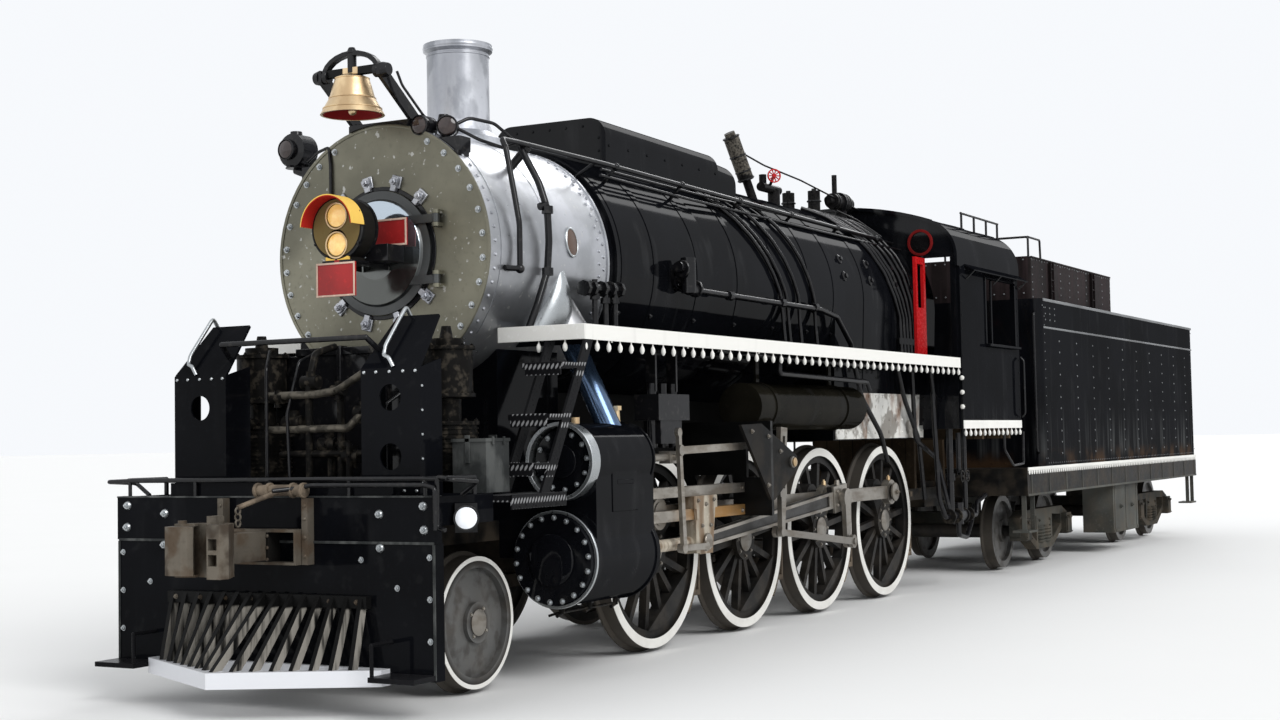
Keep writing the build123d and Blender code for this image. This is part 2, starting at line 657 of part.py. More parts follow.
def cab_floor():
    inner = HALF_WIDTH - CAB_WALL
    floor = block(CAB_REAR + 80, CAB_FRONT - CAB_WALL, -inner, inner, CAB_BOTTOM, CAB_BOTTOM + 40)
    floor -= block(BACKHEAD_X, CAB_FRONT, -FIREBOX_RADIUS, FIREBOX_RADIUS, CAB_BOTTOM - 10, CAB_BOTTOM + 60)
    for x in (-7200, -6300):
        floor += block(x, x + 60, -FRAME_OUTER, FRAME_OUTER, TOP_RAIL[1], CAB_BOTTOM)
        floor += block(x, x + 60, -inner, inner, CAB_BOTTOM - 110, CAB_BOTTOM)
    floor -= block(FRAME_REAR, DRAG_FRONT, -FRAME_INNER, FRAME_INNER, TOP_RAIL[1] - 80, DRAG_Z[1])
    return floor


def cab_fittings():
    seats = pair(block(-6950, -6150, 930, 1320, CAB_BOTTOM + 40, 2120))
    fire_door = rod_x(BACKHEAD_X - 40, BACKHEAD_X, 0, 2150, 230)
    throttle = rod_between((BACKHEAD_X, 250, 3000), (BACKHEAD_X - 260, 620, 2900), 16)
    return seats + [fire_door, throttle - firebox()]


INJECTOR_Z = 720


def injector():
    body = rod_x(-6130, -5560, 1190, INJECTOR_Z, 42) + rod_x(-5980, -5760, 1190, INJECTOR_Z, 62)
    body += rod_z(-5840, 1190, INJECTOR_Z - 90, INJECTOR_Z + 130, 50)
    for x, r in ((-5620, 34), (-6060, 26)):
        body += rod_z(x, 1190, INJECTOR_Z, CAB_BOTTOM, r) + rod_z(x, 1190, 1080, 1150, r + 16)
    return body


# Running gear that stays with the engine

JACKET_INSET = 33


def cylinders():
    x0, x1 = CYLINDER_ENDS
    lobe = rod_x(x0, x1, CYLINDER_Y, CYLINDER_Z, CYLINDER_RADIUS)
    lobe += rod_x(x0, CHEST_FRONT, CHEST_Y, CHEST_Z, CHEST_RADIUS)
    lobe += block(x0, CHEST_FRONT, FRAME_OUTER, HALF_WIDTH - JACKET_INSET, CYLINDER_Z, CHEST_Z)
    lobe += rod_x(x1, x1 + 40, CYLINDER_Y, CYLINDER_Z, CYLINDER_RADIUS - 12)
    lobe += rod_x(CHEST_FRONT, CHEST_FRONT + 45, CHEST_Y, CHEST_Z, CHEST_RADIUS - 40)
    lobe += rod_x(x0 - 70, x0, CYLINDER_Y, CYLINDER_Z, CYLINDER_RADIUS - 20)
    lobe += rod_x(x0 - 130, x0 - 70, CYLINDER_Y, CYLINDER_Z, 85)
    lobe += rod_x(x0 - 50, x0, CHEST_Y, CHEST_Z, CHEST_RADIUS - 50)
    lobe += block(x0 - 70, x0, MAIN_ROD_INNER - 10, CYLINDER_Y + MAIN_ROD_HALF + 10, CYLINDER_Z, 1215)
    saddle = block(x0, CHEST_FRONT, -FRAME_OUTER, FRAME_OUTER, FRONT_RAIL[1], 2200)
    saddle -= rod_x(x0 - 1, CHEST_FRONT + 1, 0, BOILER_Z, SMOKEBOX_RADIUS)
    return saddle + lobe + mirrored(lobe)


PIPE_X = 1150
PIPE_TOP = (PIPE_X, 640, 2620)
PIPE_FOOT = (PIPE_X, CHEST_Y + 15, 1610)
PIPE_RADIUS = 85


def steam_pipe():
    pipe = rod_between(PIPE_TOP, PIPE_FOOT, PIPE_RADIUS)
    casing = rod_between((PIPE_X, 795, BOARD_Z - 40), (PIPE_X, 620, 2760), 165, 60)
    casing -= block(PIPE_X - 400, PIPE_X + 400, 300, 1371, BOARD_Z - 200, BOARD_Z)
    pipe += casing
    pipe -= rod_x(0, SMOKEBOX_FRONT, 0, BOILER_Z, SMOKEBOX_RADIUS)
    pipe -= rod_x(0, SMOKEBOX_FRONT, CHEST_Y, CHEST_Z, CHEST_RADIUS)
    return pipe


GUIDE_BARS = ((950, 1030), (1125, 1200))
GUIDE_REAR = -1000
YOKE = (-1040, -1000)
YOKE_TOP = 1680
YOKE_LEG = 60


def guides():
    y0 = MAIN_ROD_INNER
    y1 = CYLINDER_Y + MAIN_ROD_HALF
    shape = None
    for z0, z1 in GUIDE_BARS:
        bar = block(GUIDE_REAR, CYLINDER_ENDS[0] - 70, y0, y1, z0, z1)
        shape = bar if shape is None else shape + bar
    yoke_inner = CYLINDER_Y - YOKE_LEG
    shape += block(*YOKE, yoke_inner, BRACKET_Y[1], 940, YOKE_TOP)
    shape += block(*YOKE, FRAME_INNER, yoke_inner, 1260, YOKE_TOP)
    shape += block(*YOKE, FRAME_INNER, 640, TOP_RAIL[1], YOKE_TOP)
    shape -= block(YOKE[0] - 1, YOKE[1] + 1, CYLINDER_Y + YOKE_LEG, BRACKET_Y[0] - 20, 1240, 1600)
    return shape


def crosshead_x(pin):
    return pin[0] + sqrt(MAIN_ROD_LENGTH**2 - (pin[1] - CYLINDER_Z) ** 2)


def main_pin(crank_angle):
    return on_circle(DRIVER_AXLES[MAIN_AXLE], DRIVER_RADIUS, CRANK, crank_angle)


def crosshead(x):
    y0 = MAIN_ROD_INNER - 25
    y1 = CYLINDER_Y + MAIN_ROD_HALF + 25
    body = block(x - 190, x + 190, y0, y1, GUIDE_BARS[0][1] + 0.3, GUIDE_BARS[1][0] - 0.3)
    for a, b in ((y0, y0 + 22), (y1 - 22, y1)):
        body += side_plate([(x - 100, 690), (x + 110, 690), (x + 170, 1120), (x - 170, 1120)], a, b)
    body += block(x + 100, x + 170, y0, y1, 700, GUIDE_BARS[0][0] - 6)
    body += rod_x(x + 100, CYLINDER_ENDS[0] - 130, CYLINDER_Y, CYLINDER_Z, 45)
    body += rod_y(x, y0 - 8, y1 + 8, CYLINDER_Z, 45)
    return body


def main_rod(x, pin):
    angle = degrees(atan2(-(pin[1] - CYLINDER_Z), pin[0] - x))
    length = MAIN_ROD_LENGTH
    face = Plane.XZ.offset(MAIN_ROD_HALF - 8) * Polygon(
        (0, 52), (length - 120, 72), (length - 120, -72), (0, -52), align=None
    )
    bar = extrude(face, amount=2 * (MAIN_ROD_HALF - 8), dir=(0, 1, 0))
    flute = Polygon((170, 28), (length - 260, 46), (length - 260, -46), (170, -28), align=None)
    for y0 in (-MAIN_ROD_HALF + 8, MAIN_ROD_HALF - 22):
        bar -= extrude(Plane.XZ.offset(-y0) * flute, amount=14, dir=(0, 1, 0))
    bar += Rot(90, 0, 0) * Cylinder(82, 2 * MAIN_ROD_HALF - 6)
    bar += Pos(length - 20, 0, 0) * Box(300, 2 * MAIN_ROD_HALF, 230)
    bar -= Rot(90, 0, 0) * Cylinder(45 + PIN_GAP, 200)
    rod = Pos(x, CYLINDER_Y, CYLINDER_Z) * Rot(0, angle, 0) * bar
    stub_in = SIDE_ROD_Y[1] + OPEN_PIVOT_GAP
    return rod + rod_y(pin[0], stub_in, RETURN_CRANK_Y[0], pin[1], PIN_RADIUS)


LINK_PIVOT = (-1400, 1350)
ECCENTRIC_ROD = 1620
LINK_ARM = 557
LEVER_X = 290
LEVER_TOP = 1600
LEVER_DROP = 840
UNION_LINK = 500
RADIUS_BAR_DROP = 130
RADIUS_BAR_RISE = 150


def valve_gear(crank_angle):
    pin = main_pin(crank_angle)
    x = crosshead_x(pin)
    axle = DRIVER_AXLES[MAIN_AXLE]
    eccentric = on_circle(axle, DRIVER_RADIUS, ECCENTRIC_RADIUS, crank_angle - ECCENTRIC_LAG)
    foot = crossing(eccentric, ECCENTRIC_ROD, LINK_PIVOT, LINK_ARM, -1)
    crank = strap(pin, eccentric, *RETURN_CRANK_Y, 130, 90, 85, 55)
    crank += rod_y(eccentric[0], RETURN_CRANK_Y[1], ECCENTRIC_ROD_Y[1] + 12, eccentric[1], 28)
    rod = strap(eccentric, foot, *ECCENTRIC_ROD_Y, 60, 50, 58, 46)
    rod -= rod_y(eccentric[0], 0, HALF_WIDTH, eccentric[1], 28 + PIN_GAP)
    rod -= rod_y(foot[0], 0, HALF_WIDTH, foot[1], 22 + PIN_GAP)
    foot_angle = degrees(atan2(foot[1] - LINK_PIVOT[1], foot[0] - LINK_PIVOT[0]))
    link = side_plate([(-62, -280), (62, -280), (78, 0), (62, 280), (-62, 280), (-46, 0)], *LINK_Y)
    link -= side_plate([(-22, -210), (26, -210), (42, 0), (26, 210), (-22, 210), (-6, 0)], *LINK_Y)
    link += rod_y(-34, LINK_Y[1], BRACKET_Y[0] - 0.3, 0, 30)
    link = Pos(LINK_PIVOT[0], 0, LINK_PIVOT[1]) * Rot(0, -90 - foot_angle, 0) * link
    tail = strap(on_circle(*LINK_PIVOT, 270, foot_angle), foot, *LINK_Y, 90, 60, 0, 40)
    link += tail + rod_y(foot[0], ECCENTRIC_ROD_Y[0] - 8, LINK_Y[0], foot[1], 22)
    lever_foot = (x + UNION_LINK, LEVER_TOP - LEVER_DROP)
    lever = strap((LEVER_X, LEVER_TOP), lever_foot, *LEVER_Y, 40, 54, 34, 38)
    radius_front = (LEVER_X, LEVER_TOP - RADIUS_BAR_DROP)
    radius_rear = (LINK_PIVOT[0], LINK_PIVOT[1] + RADIUS_BAR_RISE)
    radius = strap(radius_front, radius_rear, *RADIUS_BAR_Y, 56, 56, 40, 40)
    union_root = (x + 85, CYLINDER_Z - 30)
    union = strap(union_root, lever_foot, *UNION_LINK_Y, 46, 46, 34, 34)
    union += rod_y(union_root[0], MAIN_ROD_OUTER + 25, UNION_LINK_Y[0], union_root[1], 24)
    stem = rod_x(LEVER_X - 40, CYLINDER_ENDS[0] - 50, CHEST_Y, CHEST_Z, 28)
    stem += block(LEVER_X - 60, LEVER_X + 60, CHEST_Y - 45, CHEST_Y + 45, CHEST_Z - 45, CHEST_Z + 45)
    stem += rod_y(LEVER_X, CHEST_Y + 45, LEVER_Y[0], CHEST_Z, 24)
    return [crank, rod, link, lever, radius, union, stem]


def motion_bracket():
    points = [(-475, 1650), (-840, 1660), (-1500, 1400), (-1500, 1290), (-1060, 1060), (-1000, 1060)]
    return side_plate(points, *BRACKET_Y) - block(*YOKE, 0, 2 * HALF_WIDTH, 900, YOKE_TOP + 20)


def side_rod(crank_angle):
    y0, y1 = SIDE_ROD_Y
    pins = [on_circle(x, DRIVER_RADIUS, CRANK, crank_angle) for x in DRIVER_AXLES]
    rod = strap(pins[0], pins[-1], y0 + 12, y1 - 12, SIDE_ROD_DEPTH, SIDE_ROD_DEPTH, 0, 0)
    for x, z in pins:
        rod += rod_y(x, y0, y1, z, 118)
    for x, z in pins:
        rod -= rod_y(x, y0 - 1, y1 + 1, z, PIN_RADIUS + PIN_GAP)
    return rod


def air_reservoir():
    tank = rod_x(-3280, -1060, 1050, 1800, 190)
    for x in (-2900, -1400):
        strap_ring = rod_x(x, x + 60, 1050, 1800, 200)
        tank += strap_ring + block(x, x + 60, 1040, 1060, 1980, BOARD_Z - BOARD_SHEET)
    return tank


LUBRICATOR_X = (-20, 460)
LUBRICATOR_Y = (930, 1130)


def lubricator():
    # oil tank with three feeds above it and a drive box below, hung from the running board
    x0, x1 = LUBRICATOR_X
    y0, y1 = LUBRICATOR_Y
    middle = (y0 + y1) / 2
    box = block(x0, x1, y0, y1, 1690, 1880) + block(x0 + 90, x1 - 60, y0 + 40, y1 - 20, 1520, 1690)
    for x in (x0 + 80, x0 + 240, x0 + 400):
        box += rod_z(x, middle, 1880, 1960, 34) + rod_z(x, middle, 1490, 1700, 40)
    for x in (x0 + 80, x0 + 400):
        box += block(x - 12, x + 12, middle - 40, middle + 40, 1900, BOARD_Z - BOARD_SHEET)
    return box


BRAKE_Y = (740, 800)
SHOE = (734, 785, -42, -20)


def brake_gear():
    parts = []
    for x in DRIVER_AXLES:
        hang_x = x - DRIVER_SPACING / 2
        inner, outer, a0, a1 = SHOE
        ring = rod_y(x, *BRAKE_Y, DRIVER_RADIUS, outer) - rod_y(x, 700, 900, DRIVER_RADIUS, inner)
        corner = [on_circle(x, DRIVER_RADIUS, 1100, 180 - a) for a in (a0, a1)]
        wedge = side_plate([(x, DRIVER_RADIUS), corner[0], corner[1]], 700, 900)
        shoe = ring & wedge
        hanger = block(hang_x - 14, hang_x + 14, 750, 790, 330, 985)
        beam = block(x - 700, hang_x + 14, 750, 790, 330, 372)
        bracket = block(hang_x - 30, hang_x + 30, FRAME_OUTER, 810, 925, 975)
        parts.append(hanger + bracket + beam + shoe)
    return [p for part in parts for p in pair(part)]


def running_board():
    edge = block(CAB_FRONT, BOARD_FRONT, HALF_WIDTH - 20, HALF_WIDTH, BOARD_Z - BOARD_EDGE, BOARD_Z)
    board = block(FIREBOX_FRONT, BOARD_FRONT, 780, HALF_WIDTH, BOARD_Z - BOARD_SHEET, BOARD_Z) + edge
    board += block(CAB_FRONT, FIREBOX_FRONT, FIREBOX_RADIUS, HALF_WIDTH, BOARD_Z - BOARD_SHEET, BOARD_Z)
    board += block(BOARD_FRONT - 20, BOARD_FRONT, 700, HALF_WIDTH, BOARD_Z - BOARD_EDGE, BOARD_Z)
    for x in (1500, 400, -800, -2000, -3100, -4000, -5000):
        board += block(x, x + 24, 600, HALF_WIDTH - 20, BOARD_Z - 110, BOARD_Z - BOARD_SHEET)
    board -= rod_between(PIPE_TOP, PIPE_FOOT, PIPE_RADIUS + 6)
    board -= rod_x(SMOKEBOX_REAR, BOARD_FRONT + 400, 0, BOILER_Z, SMOKEBOX_RADIUS)
    return board - boiler_barrel() - firebox()


# Front end

def front_deck():
    deck = block(BEAM_X - BEAM_SHEET, BEAM_X, -BEAM_HALF, BEAM_HALF, BEAM_BOTTOM, DECK_Z)
    deck += block(DECK_REAR, BEAM_X, -BEAM_HALF, BEAM_HALF, DECK_Z - DECK_SHEET, DECK_Z)
    deck += block(2290, DECK_REAR, -980, 980, DECK_Z - DECK_SHEET, DECK_Z)
    for x in (2320, 3200):
        deck += block(x, x + 90, -FRAME_OUTER, FRAME_OUTER, FRONT_RAIL[1], DECK_Z - DECK_SHEET)
    for side in (-1, 1):
        y0, y1 = sorted((side * (BEAM_HALF - 40), side * BEAM_HALF))
        deck += block(DECK_REAR, BEAM_X, y0, y1, 1080, DECK_Z)
    return deck + block(BEAM_X - 50, BEAM_X - 36, -820, 900, DECK_Z, TOE_BOARD_TOP)


TOE_BOARD_TOP = 1335
BEAM_RAIL_Z = 1352
BEAM_RAIL_RADIUS = 15


def front_rails():
    # rail along the top of the beam, turned back down at both ends, and the bar between the two pump shields
    z = BEAM_RAIL_Z
    x = BEAM_X - 20
    y = BEAM_HALF - 20
    ends = [(x - 400, y, DECK_Z), (x - 400, y, z), (x - 60, y, z), (x, y - 80, z)]
    beam_rail = pipe(ends + [(p[0], -p[1], p[2]) for p in reversed(ends)], BEAM_RAIL_RADIUS)
    for y in (-1150, -600, 0, 600, 1150):
        beam_rail += rod_z(x, y, DECK_Z, z, 12)
    near, far = SHIELD_X - 7, SHIELD_X - 117
    cross_bar = pipe([(far, -600, 2120), (near, -570, 2205), (near, 570, 2205), (far, 600, 2120)], 17)
    return [beam_rail, cross_bar - pump_shield([]) - mirrored(pump_shield([]))]


def beam_lamp():
    # square housing with a round lens barrel, turned outward at the end of the beam
    body = Pos(-70, 0, 0) * Box(110, 130, 170) + Pos(-10, 0, 0) * Rot(0, 90, 0) * Cylinder(68, 40)
    body -= Pos(6, 0, 0) * Rot(0, 90, 0) * Cylinder(58, 10)
    return Pos(*BEAM_LAMP) * Rot(0, 0, BEAM_LAMP_TURN) * body - front_deck()


BEAM_LAMP = (3215, BEAM_HALF + 90, 1120)
BEAM_LAMP_TURN = 34


def tool_box():
    return block(2535, 2790, 945, 1190, DECK_Z, 1560) + block(2528, 2800, 940, 1196, 1560, 1580)


def pilot_sheet():
    sheet = block(BEAM_X - PILOT_SHEET, BEAM_X, -PILOT_HALF, PILOT_HALF, PILOT_BOTTOM, BEAM_BOTTOM)
    for side in (-1, 1):
        y0, y1 = sorted((side * (PILOT_HALF - 16), side * PILOT_HALF))
        sheet += block(BEAM_X - 90, BEAM_X, y0, y1, PILOT_BOTTOM, BEAM_BOTTOM)
    return sheet


def pilot_step():
    y0, y1 = PILOT_STEP_Y
    tread = block(BEAM_X, PILOT_STEP_FRONT, y0, y1, PILOT_BOTTOM + 10, PILOT_BOTTOM + 40)
    top = PILOT_BOTTOM + 220
    x = PILOT_STEP_FRONT - 20
    return tread + pipe([(BEAM_X, y0 + 15, top), (x, y0 + 15, top), (x, y0 + 15, PILOT_BOTTOM + 40)], 12)


PILOT_STEP_Y = (900, PILOT_HALF)
PILOT_STEP_FRONT = 3600


NOSE_X = 3947
CATCHER_ENDS = (3470, 900)
CATCHER_Z = (160, 255)
CATCHER_RIM = 80
CATCHER_TOP = (600, 670)
CATCHER_TOP_HALF = 770
BAR_COUNT = 15
BAR_PITCH = 104


def cow_catcher():
    # pointed bottom frame, top bar, and sloping bars that each lie in a fore-and-aft plane
    end_x, half = CATCHER_ENDS
    outer = [(NOSE_X, 0), (end_x, half), (BEAM_X, half), (BEAM_X, -half), (end_x, -half)]
    inner_end = (end_x - CATCHER_RIM / 2, half - CATCHER_RIM)
    inner = [(NOSE_X - CATCHER_RIM, 0), inner_end, (BEAM_X + 40, half - CATCHER_RIM)]
    inner += [(x, -y) for x, y in reversed(inner[1:])]
    frame = flat_plate(outer, *CATCHER_Z) - flat_plate(inner, CATCHER_Z[0] - 1, CATCHER_Z[1] + 1)
    frame += block(BEAM_X, BEAM_X + 50, -CATCHER_TOP_HALF, CATCHER_TOP_HALF, *CATCHER_TOP)
    for i in range(BAR_COUNT):
        y = (i - (BAR_COUNT - 1) / 2) * BAR_PITCH
        foot_x = NOSE_X - (NOSE_X - end_x) * abs(y) / half - CATCHER_RIM / 2
        foot = Vector(foot_x, y, CATCHER_Z[1] - 40)
        along = Vector(BEAM_X + 24, y, CATCHER_TOP[1] - 12) - foot
        plane = Plane(origin=foot, x_dir=(0, 1, 0), z_dir=along)
        frame += plane * Box(30, 54, along.length, align=(Align.CENTER, Align.CENTER, Align.MIN))
    return frame - block(BEAM_X - 200, BEAM_X, -half, half, 0, 1000)


COUPLER_Z = (805, 1115)


KNUCKLE_TRIM = 15
WINDOW_Z = ((880, 945), (970, 1035))
POCKET_HALF = 300
POCKET_Z = (848, 1058)
POCKET_DEPTH = 110
POCKET_WALL = 16
STRIKER = (350, 45, 60)


def coupler():
    # head with its pulling face at x = 0: knuckle between lugs to the right, guard arm with two windows to the left
    z0, z1 = COUPLER_Z
    head = [(-240, -120), (-170, -150), (-150, -60), (-125, 50), (-60, 95), (-8, 130), (-8, 225), (-70, 240), (-240, 130)]
    nose = [(-170, -215), (-110, -238), (-50, -226), (-12, -190), (0, -150), (0, -60), (-14, -22), (-45, -6)]
    knuckle = nose + [(-78, -28), (-92, -84), (-150, -110)]
    lug = [(-210, -130), (-180, -185), (-130, -202), (-85, -185), (-78, -130), (-120, -60), (-170, -60)]
    shape = flat_plate(head, z0, z1) + flat_plate(knuckle, z0 + KNUCKLE_TRIM, z1 - KNUCKLE_TRIM)
    shape += flat_plate(lug, z0, z0 + KNUCKLE_TRIM) + flat_plate(lug, z1 - KNUCKLE_TRIM, z1)
    for window in WINDOW_Z:
        shape -= block(-70, 10, 140, 205, *window)
    shape += rod_z(-115, -150, z0 + 2, z1 + 18, 26)
    shape += block(-180, -110, 40, 110, z1 - 1, z1 + 45)
    shape += block(-650, -200, -75, 75, z0 + 70, z1 - 70)
    return shape


def front_coupler():
    # coupler, the open striker frame it passes through and the two thick plates beside the frame
    shape = Pos(FRONT_COUPLER_FACE, 0, 0) * coupler() - block(2000, BEAM_X, -300, 300, 700, 1200)
    z0, z1 = POCKET_Z
    x1 = BEAM_X + POCKET_DEPTH
    t = POCKET_WALL
    shape += block(BEAM_X, x1, -POCKET_HALF, POCKET_HALF, z0, z1)
    for side in (-1, 1):
        y0, y1 = sorted((side * 90, side * (POCKET_HALF - t)))
        shape -= block(BEAM_X, x1, y0, y1, z0 + t, z1 - t)
        outer, wide, deep = STRIKER
        y0, y1 = sorted((side * (outer - wide), side * outer))
        shape += block(BEAM_X, BEAM_X + deep, y0, y1, z0, DECK_Z - 8)
        y0, y1 = sorted((side * (POCKET_HALF - t), side * outer))
        shape += block(BEAM_X, BEAM_X + deep / 2, y0, y1, z0, z1)
    return shape


SHIELD_X = 3157
SHIELD_Y = (535, 965)
SHIELD_SHEET = 12
SHIELD_BEND_Z = 2010
SHIELD_TOP = (2857, 2345)
SHIELD_TOP_TRIM = 60
SHIELD_SIDE_X = 2925


def pump_shield(holes):
    # upright front sheet that leans back above the bend and narrows to rounded corners, with a shallow side sheet
    y0, y1 = SHIELD_Y
    t = SHIELD_SHEET
    top_x, top_z = SHIELD_TOP
    face = [(SHIELD_X, DECK_Z), (SHIELD_X, SHIELD_BEND_Z), (top_x, top_z)]
    back = [(top_x - t, top_z - t), (SHIELD_X - t, SHIELD_BEND_Z - t / 2), (SHIELD_X - t, DECK_Z)]
    shield = side_plate(face + back, y0, y1)
    for y, inward in ((y0, 1), (y1, -1)):
        corner = [(y, top_z + 1), (y + inward * SHIELD_TOP_TRIM, top_z + 1), (y, SHIELD_BEND_Z + 20)]
        shield -= cross_plate(corner, top_x - 100, SHIELD_X - t)
        near, far = sorted((y, y + inward * t))
        side = [(SHIELD_X - 1, DECK_Z), (SHIELD_X - 1, SHIELD_BEND_Z - 2), (SHIELD_SIDE_X, SHIELD_BEND_Z + 60)]
        side += [(SHIELD_SIDE_X, DECK_Z)]
        beyond = side_plate([(SHIELD_X, SHIELD_BEND_Z), (top_x, top_z), (SHIELD_X, top_z)], near - 1, far + 1)
        shield += side_plate(side, near, far) - beyond
    for z, r in holes:
        shield -= rod_x(SHIELD_X - 100, SHIELD_X + 10, (y0 + y1) / 2, z, r)
    return shield


PUMP_X = 2560
PUMP_Y = 749


def air_pump():
    # (radius, height) from the deck up: air cylinder, distance piece, steam cylinder and head
    profile = [(0, DECK_Z), (120, DECK_Z), (120, 1320), (188, 1320), (188, 1680), (90, 1690), (90, 1830), (165, 1840)]
    profile += [(165, 2150), (110, 2160), (110, 2210), (0, 2210)]
    return turned(profile, PUMP_X, PUMP_Y)


STEP_Y = (1065, HALF_WIDTH)
TREADS = ((1960, 2054), (2140, 1725), (2310, 1422))


def front_steps():
    y0, y1 = STEP_Y
    steps = block(2163, DECK_REAR, y0, y1, 1195, 1235)
    stringer = [(1790, 2210), (1890, 2210), (2460, 1235), (2360, 1235)]
    for a, b in ((y0, y0 + 18), (y1 - 18, y1)):
        steps += side_plate(stringer, a, b)
    for x, z in TREADS:
        steps += block(x, x + 210, y0, y1, z - 36, z)
    return steps


def pony_truck():
    half = 110
    x = PONY_AXLE_X
    side = block(x - 330, x + 330, 440, 560, 560, 650)
    side += block(x - half, x + half, 440, 600, SMALL_WHEEL_RADIUS - 120, 600)
    frame = side + mirrored(side)
    frame += block(x - 330, x - 240, -560, 560, 560, 650) + block(x + 240, x + 330, -560, 560, 560, 650)
    arm = flat_plate([(PONY_PIVOT_X, 70), (x - 240, 400), (x - 240, -400), (PONY_PIVOT_X, -70)], 560, 620)
    arm -= flat_plate([(PONY_PIVOT_X + 220, 60), (x - 320, 290), (x - 320, -290), (PONY_PIVOT_X + 220, -60)], 550, 630)
    arm += rod_z(PONY_PIVOT_X, 0, 540, 638, 90)
    frame += arm
    frame += block(x - 60, x + 60, -560, 560, 620, 700)
    frame -= rod_z(PONY_PIVOT_X, 0, 500, 700, PONY_PIVOT_RADIUS + PIN_GAP)
    return frame - rod_y(x, -700, 700, SMALL_WHEEL_RADIUS, 80 + JOURNAL_GAP)


# Tender

def tender_frame():
    z0, z1 = SILL_Z
    sill = block(TENDER_REAR, TENDER_FRONT, HALF_WIDTH - 16, HALF_WIDTH, z0, z1)
    for z in (z0, z1 - 18):
        sill += block(TENDER_REAR, TENDER_FRONT, HALF_WIDTH - 90, HALF_WIDTH, z, z + 18)
    frame = sill + mirrored(sill)
    frame += block(TENDER_REAR, TENDER_FRONT, -HALF_WIDTH, HALF_WIDTH, z1, TANK_BOTTOM)
    frame += block(TENDER_REAR, TENDER_FRONT, -170, 170, 780, z1)
    for x in (TENDER_REAR, TENDER_FRONT - 60):
        frame += block(x, x + 60, -HALF_WIDTH, HALF_WIDTH, z0, z1)
    for x in TRUCK_X:
        frame += block(x - 150, x + 150, -HALF_WIDTH + 16, HALF_WIDTH - 16, 880, z1)
        frame += rod_z(x, 0, 700, 880, 110)
        frame += rod_z(x, 0, 560, 720, CENTRE_PIN_RADIUS)
    bar = block(TENDER_FRONT - 200, DRAWBAR_PIN_X, -60, 60, DRAWBAR_Z - 35, DRAWBAR_Z + 35)
    bar += rod_z(DRAWBAR_PIN_X, 0, DRAWBAR_Z - 35, DRAWBAR_Z + 35, 100)
    bar -= rod_z(DRAWBAR_PIN_X, 0, DRAWBAR_Z - 50, DRAWBAR_Z + 50, DRAWBAR_PIN_RADIUS + PIN_GAP)
    return frame + bar


CENTRE_PIN_RADIUS = 60


def tender_tank():
    body = block(TENDER_REAR + 20, TANK_FRONT, -HALF_WIDTH, HALF_WIDTH, TANK_BOTTOM, COPING_Z)
    edges = body.edges().filter_by(Axis.Z)
    body = fillet(edges, 90)
    inner = HALF_WIDTH - COPING
    well = block(TENDER_REAR + 20 + COPING, TANK_FRONT - COPING, -inner, inner, TANK_DECK, COPING_Z + 1)
    return body - well


def tender_bunker():
    x0, x1, half, top = BUNKER
    body = block(x0, x1, -half, half, TANK_DECK, top)
    body = fillet(body.edges().filter_by(Axis.Z), 60)
    return body - block(x0 + 25, x1 - 25, -half + 25, half - 25, top - 160, top + 1)


def tender_fittings():
    hatch = rod_z(-14800, 0, TANK_DECK, TANK_DECK + 260, 300)
    box = block(*BOX_X, HALF_WIDTH - BOX_INSET - BOX_DEPTH, HALF_WIDTH - BOX_INSET, 230, SILL_Z[0])
    shapes = [hatch, box, mirrored(box)]
    hanger = (HALF_WIDTH - 81, HALF_WIDTH - 31)
    for x in TENDER_STEP_X:
        step = block(x, x + STEP_LENGTH, HALF_WIDTH - STEP_DEPTH, HALF_WIDTH, 440, 464)
        for a in (x, x + STEP_LENGTH - 16):
            step += block(a, a + 16, *hanger, 464, SILL_Z[0])
        shapes += pair(step)
    return shapes


BOX_X = (-12900, -11600)
BOX_INSET = 71
BOX_DEPTH = 400
STEP_LENGTH = 330
STEP_DEPTH = 191


TENDER_STEP_X = (-8000, -16250)


def rear_coupler():
    head = Pos(REAR_COUPLER_FACE, 0, 0) * Rot(0, 0, 180) * coupler()
    return head - block(TENDER_REAR, 0, -300, 300, 700, 1200)


def tender_truck(x):
    y0, y1 = 930, 1060
    z = SMALL_WHEEL_RADIUS
    b = TRUCK_HALF_BASE
    outline = [
        (x - b - 130, z + 150),
        (x - b + 100, z + 230),
        (x + b - 100, z + 230),
        (x + b + 130, z + 150),
        (x + b + 130, z - 60),
        (x + b - 130, z - 60),
        (x + 330, z - 240),
        (x - 330, z - 240),
        (x - b + 130, z - 60),
        (x - b - 130, z - 60),
    ]
    side = side_plate(outline, y0, y1)
    side -= block(x - 260, x + 260, y0, y1, z - 170, z + 120)
    for s in (-1, 1):
        near = x + s * 320
        far = x + s * (b - 150)
        window = [(near, z + 150), (near, z - 150), (far, z + 20), (far, z + 130)]
        side -= side_plate(window, y0, y1)
        side += block(x + s * b - 110, x + s * b + 110, y0, y1 + 60, z - 110, z + 140)
    for s in (-1, 1):
        side += rod_z(x + s * 120, (y0 + y1) / 2, z - 172, z + 30, 85)
    side += block(x - 250, x + 250, y0, y1, z + 30, z + 122)
    bolster = block(x - 170, x + 170, -y0, y0, z + 40, z + 180)
    bolster += rod_z(x, 0, z + 180, 699.7, 180)
    truck = side + mirrored(side) + bolster
    truck -= rod_z(x, 0, z, 800, CENTRE_PIN_RADIUS + PIN_GAP)
    for s in (-1, 1):
        truck -= rod_y(x + s * b, -JOURNAL_OUT, JOURNAL_OUT, z, JOURNAL_RADIUS + JOURNAL_GAP)
    return truck


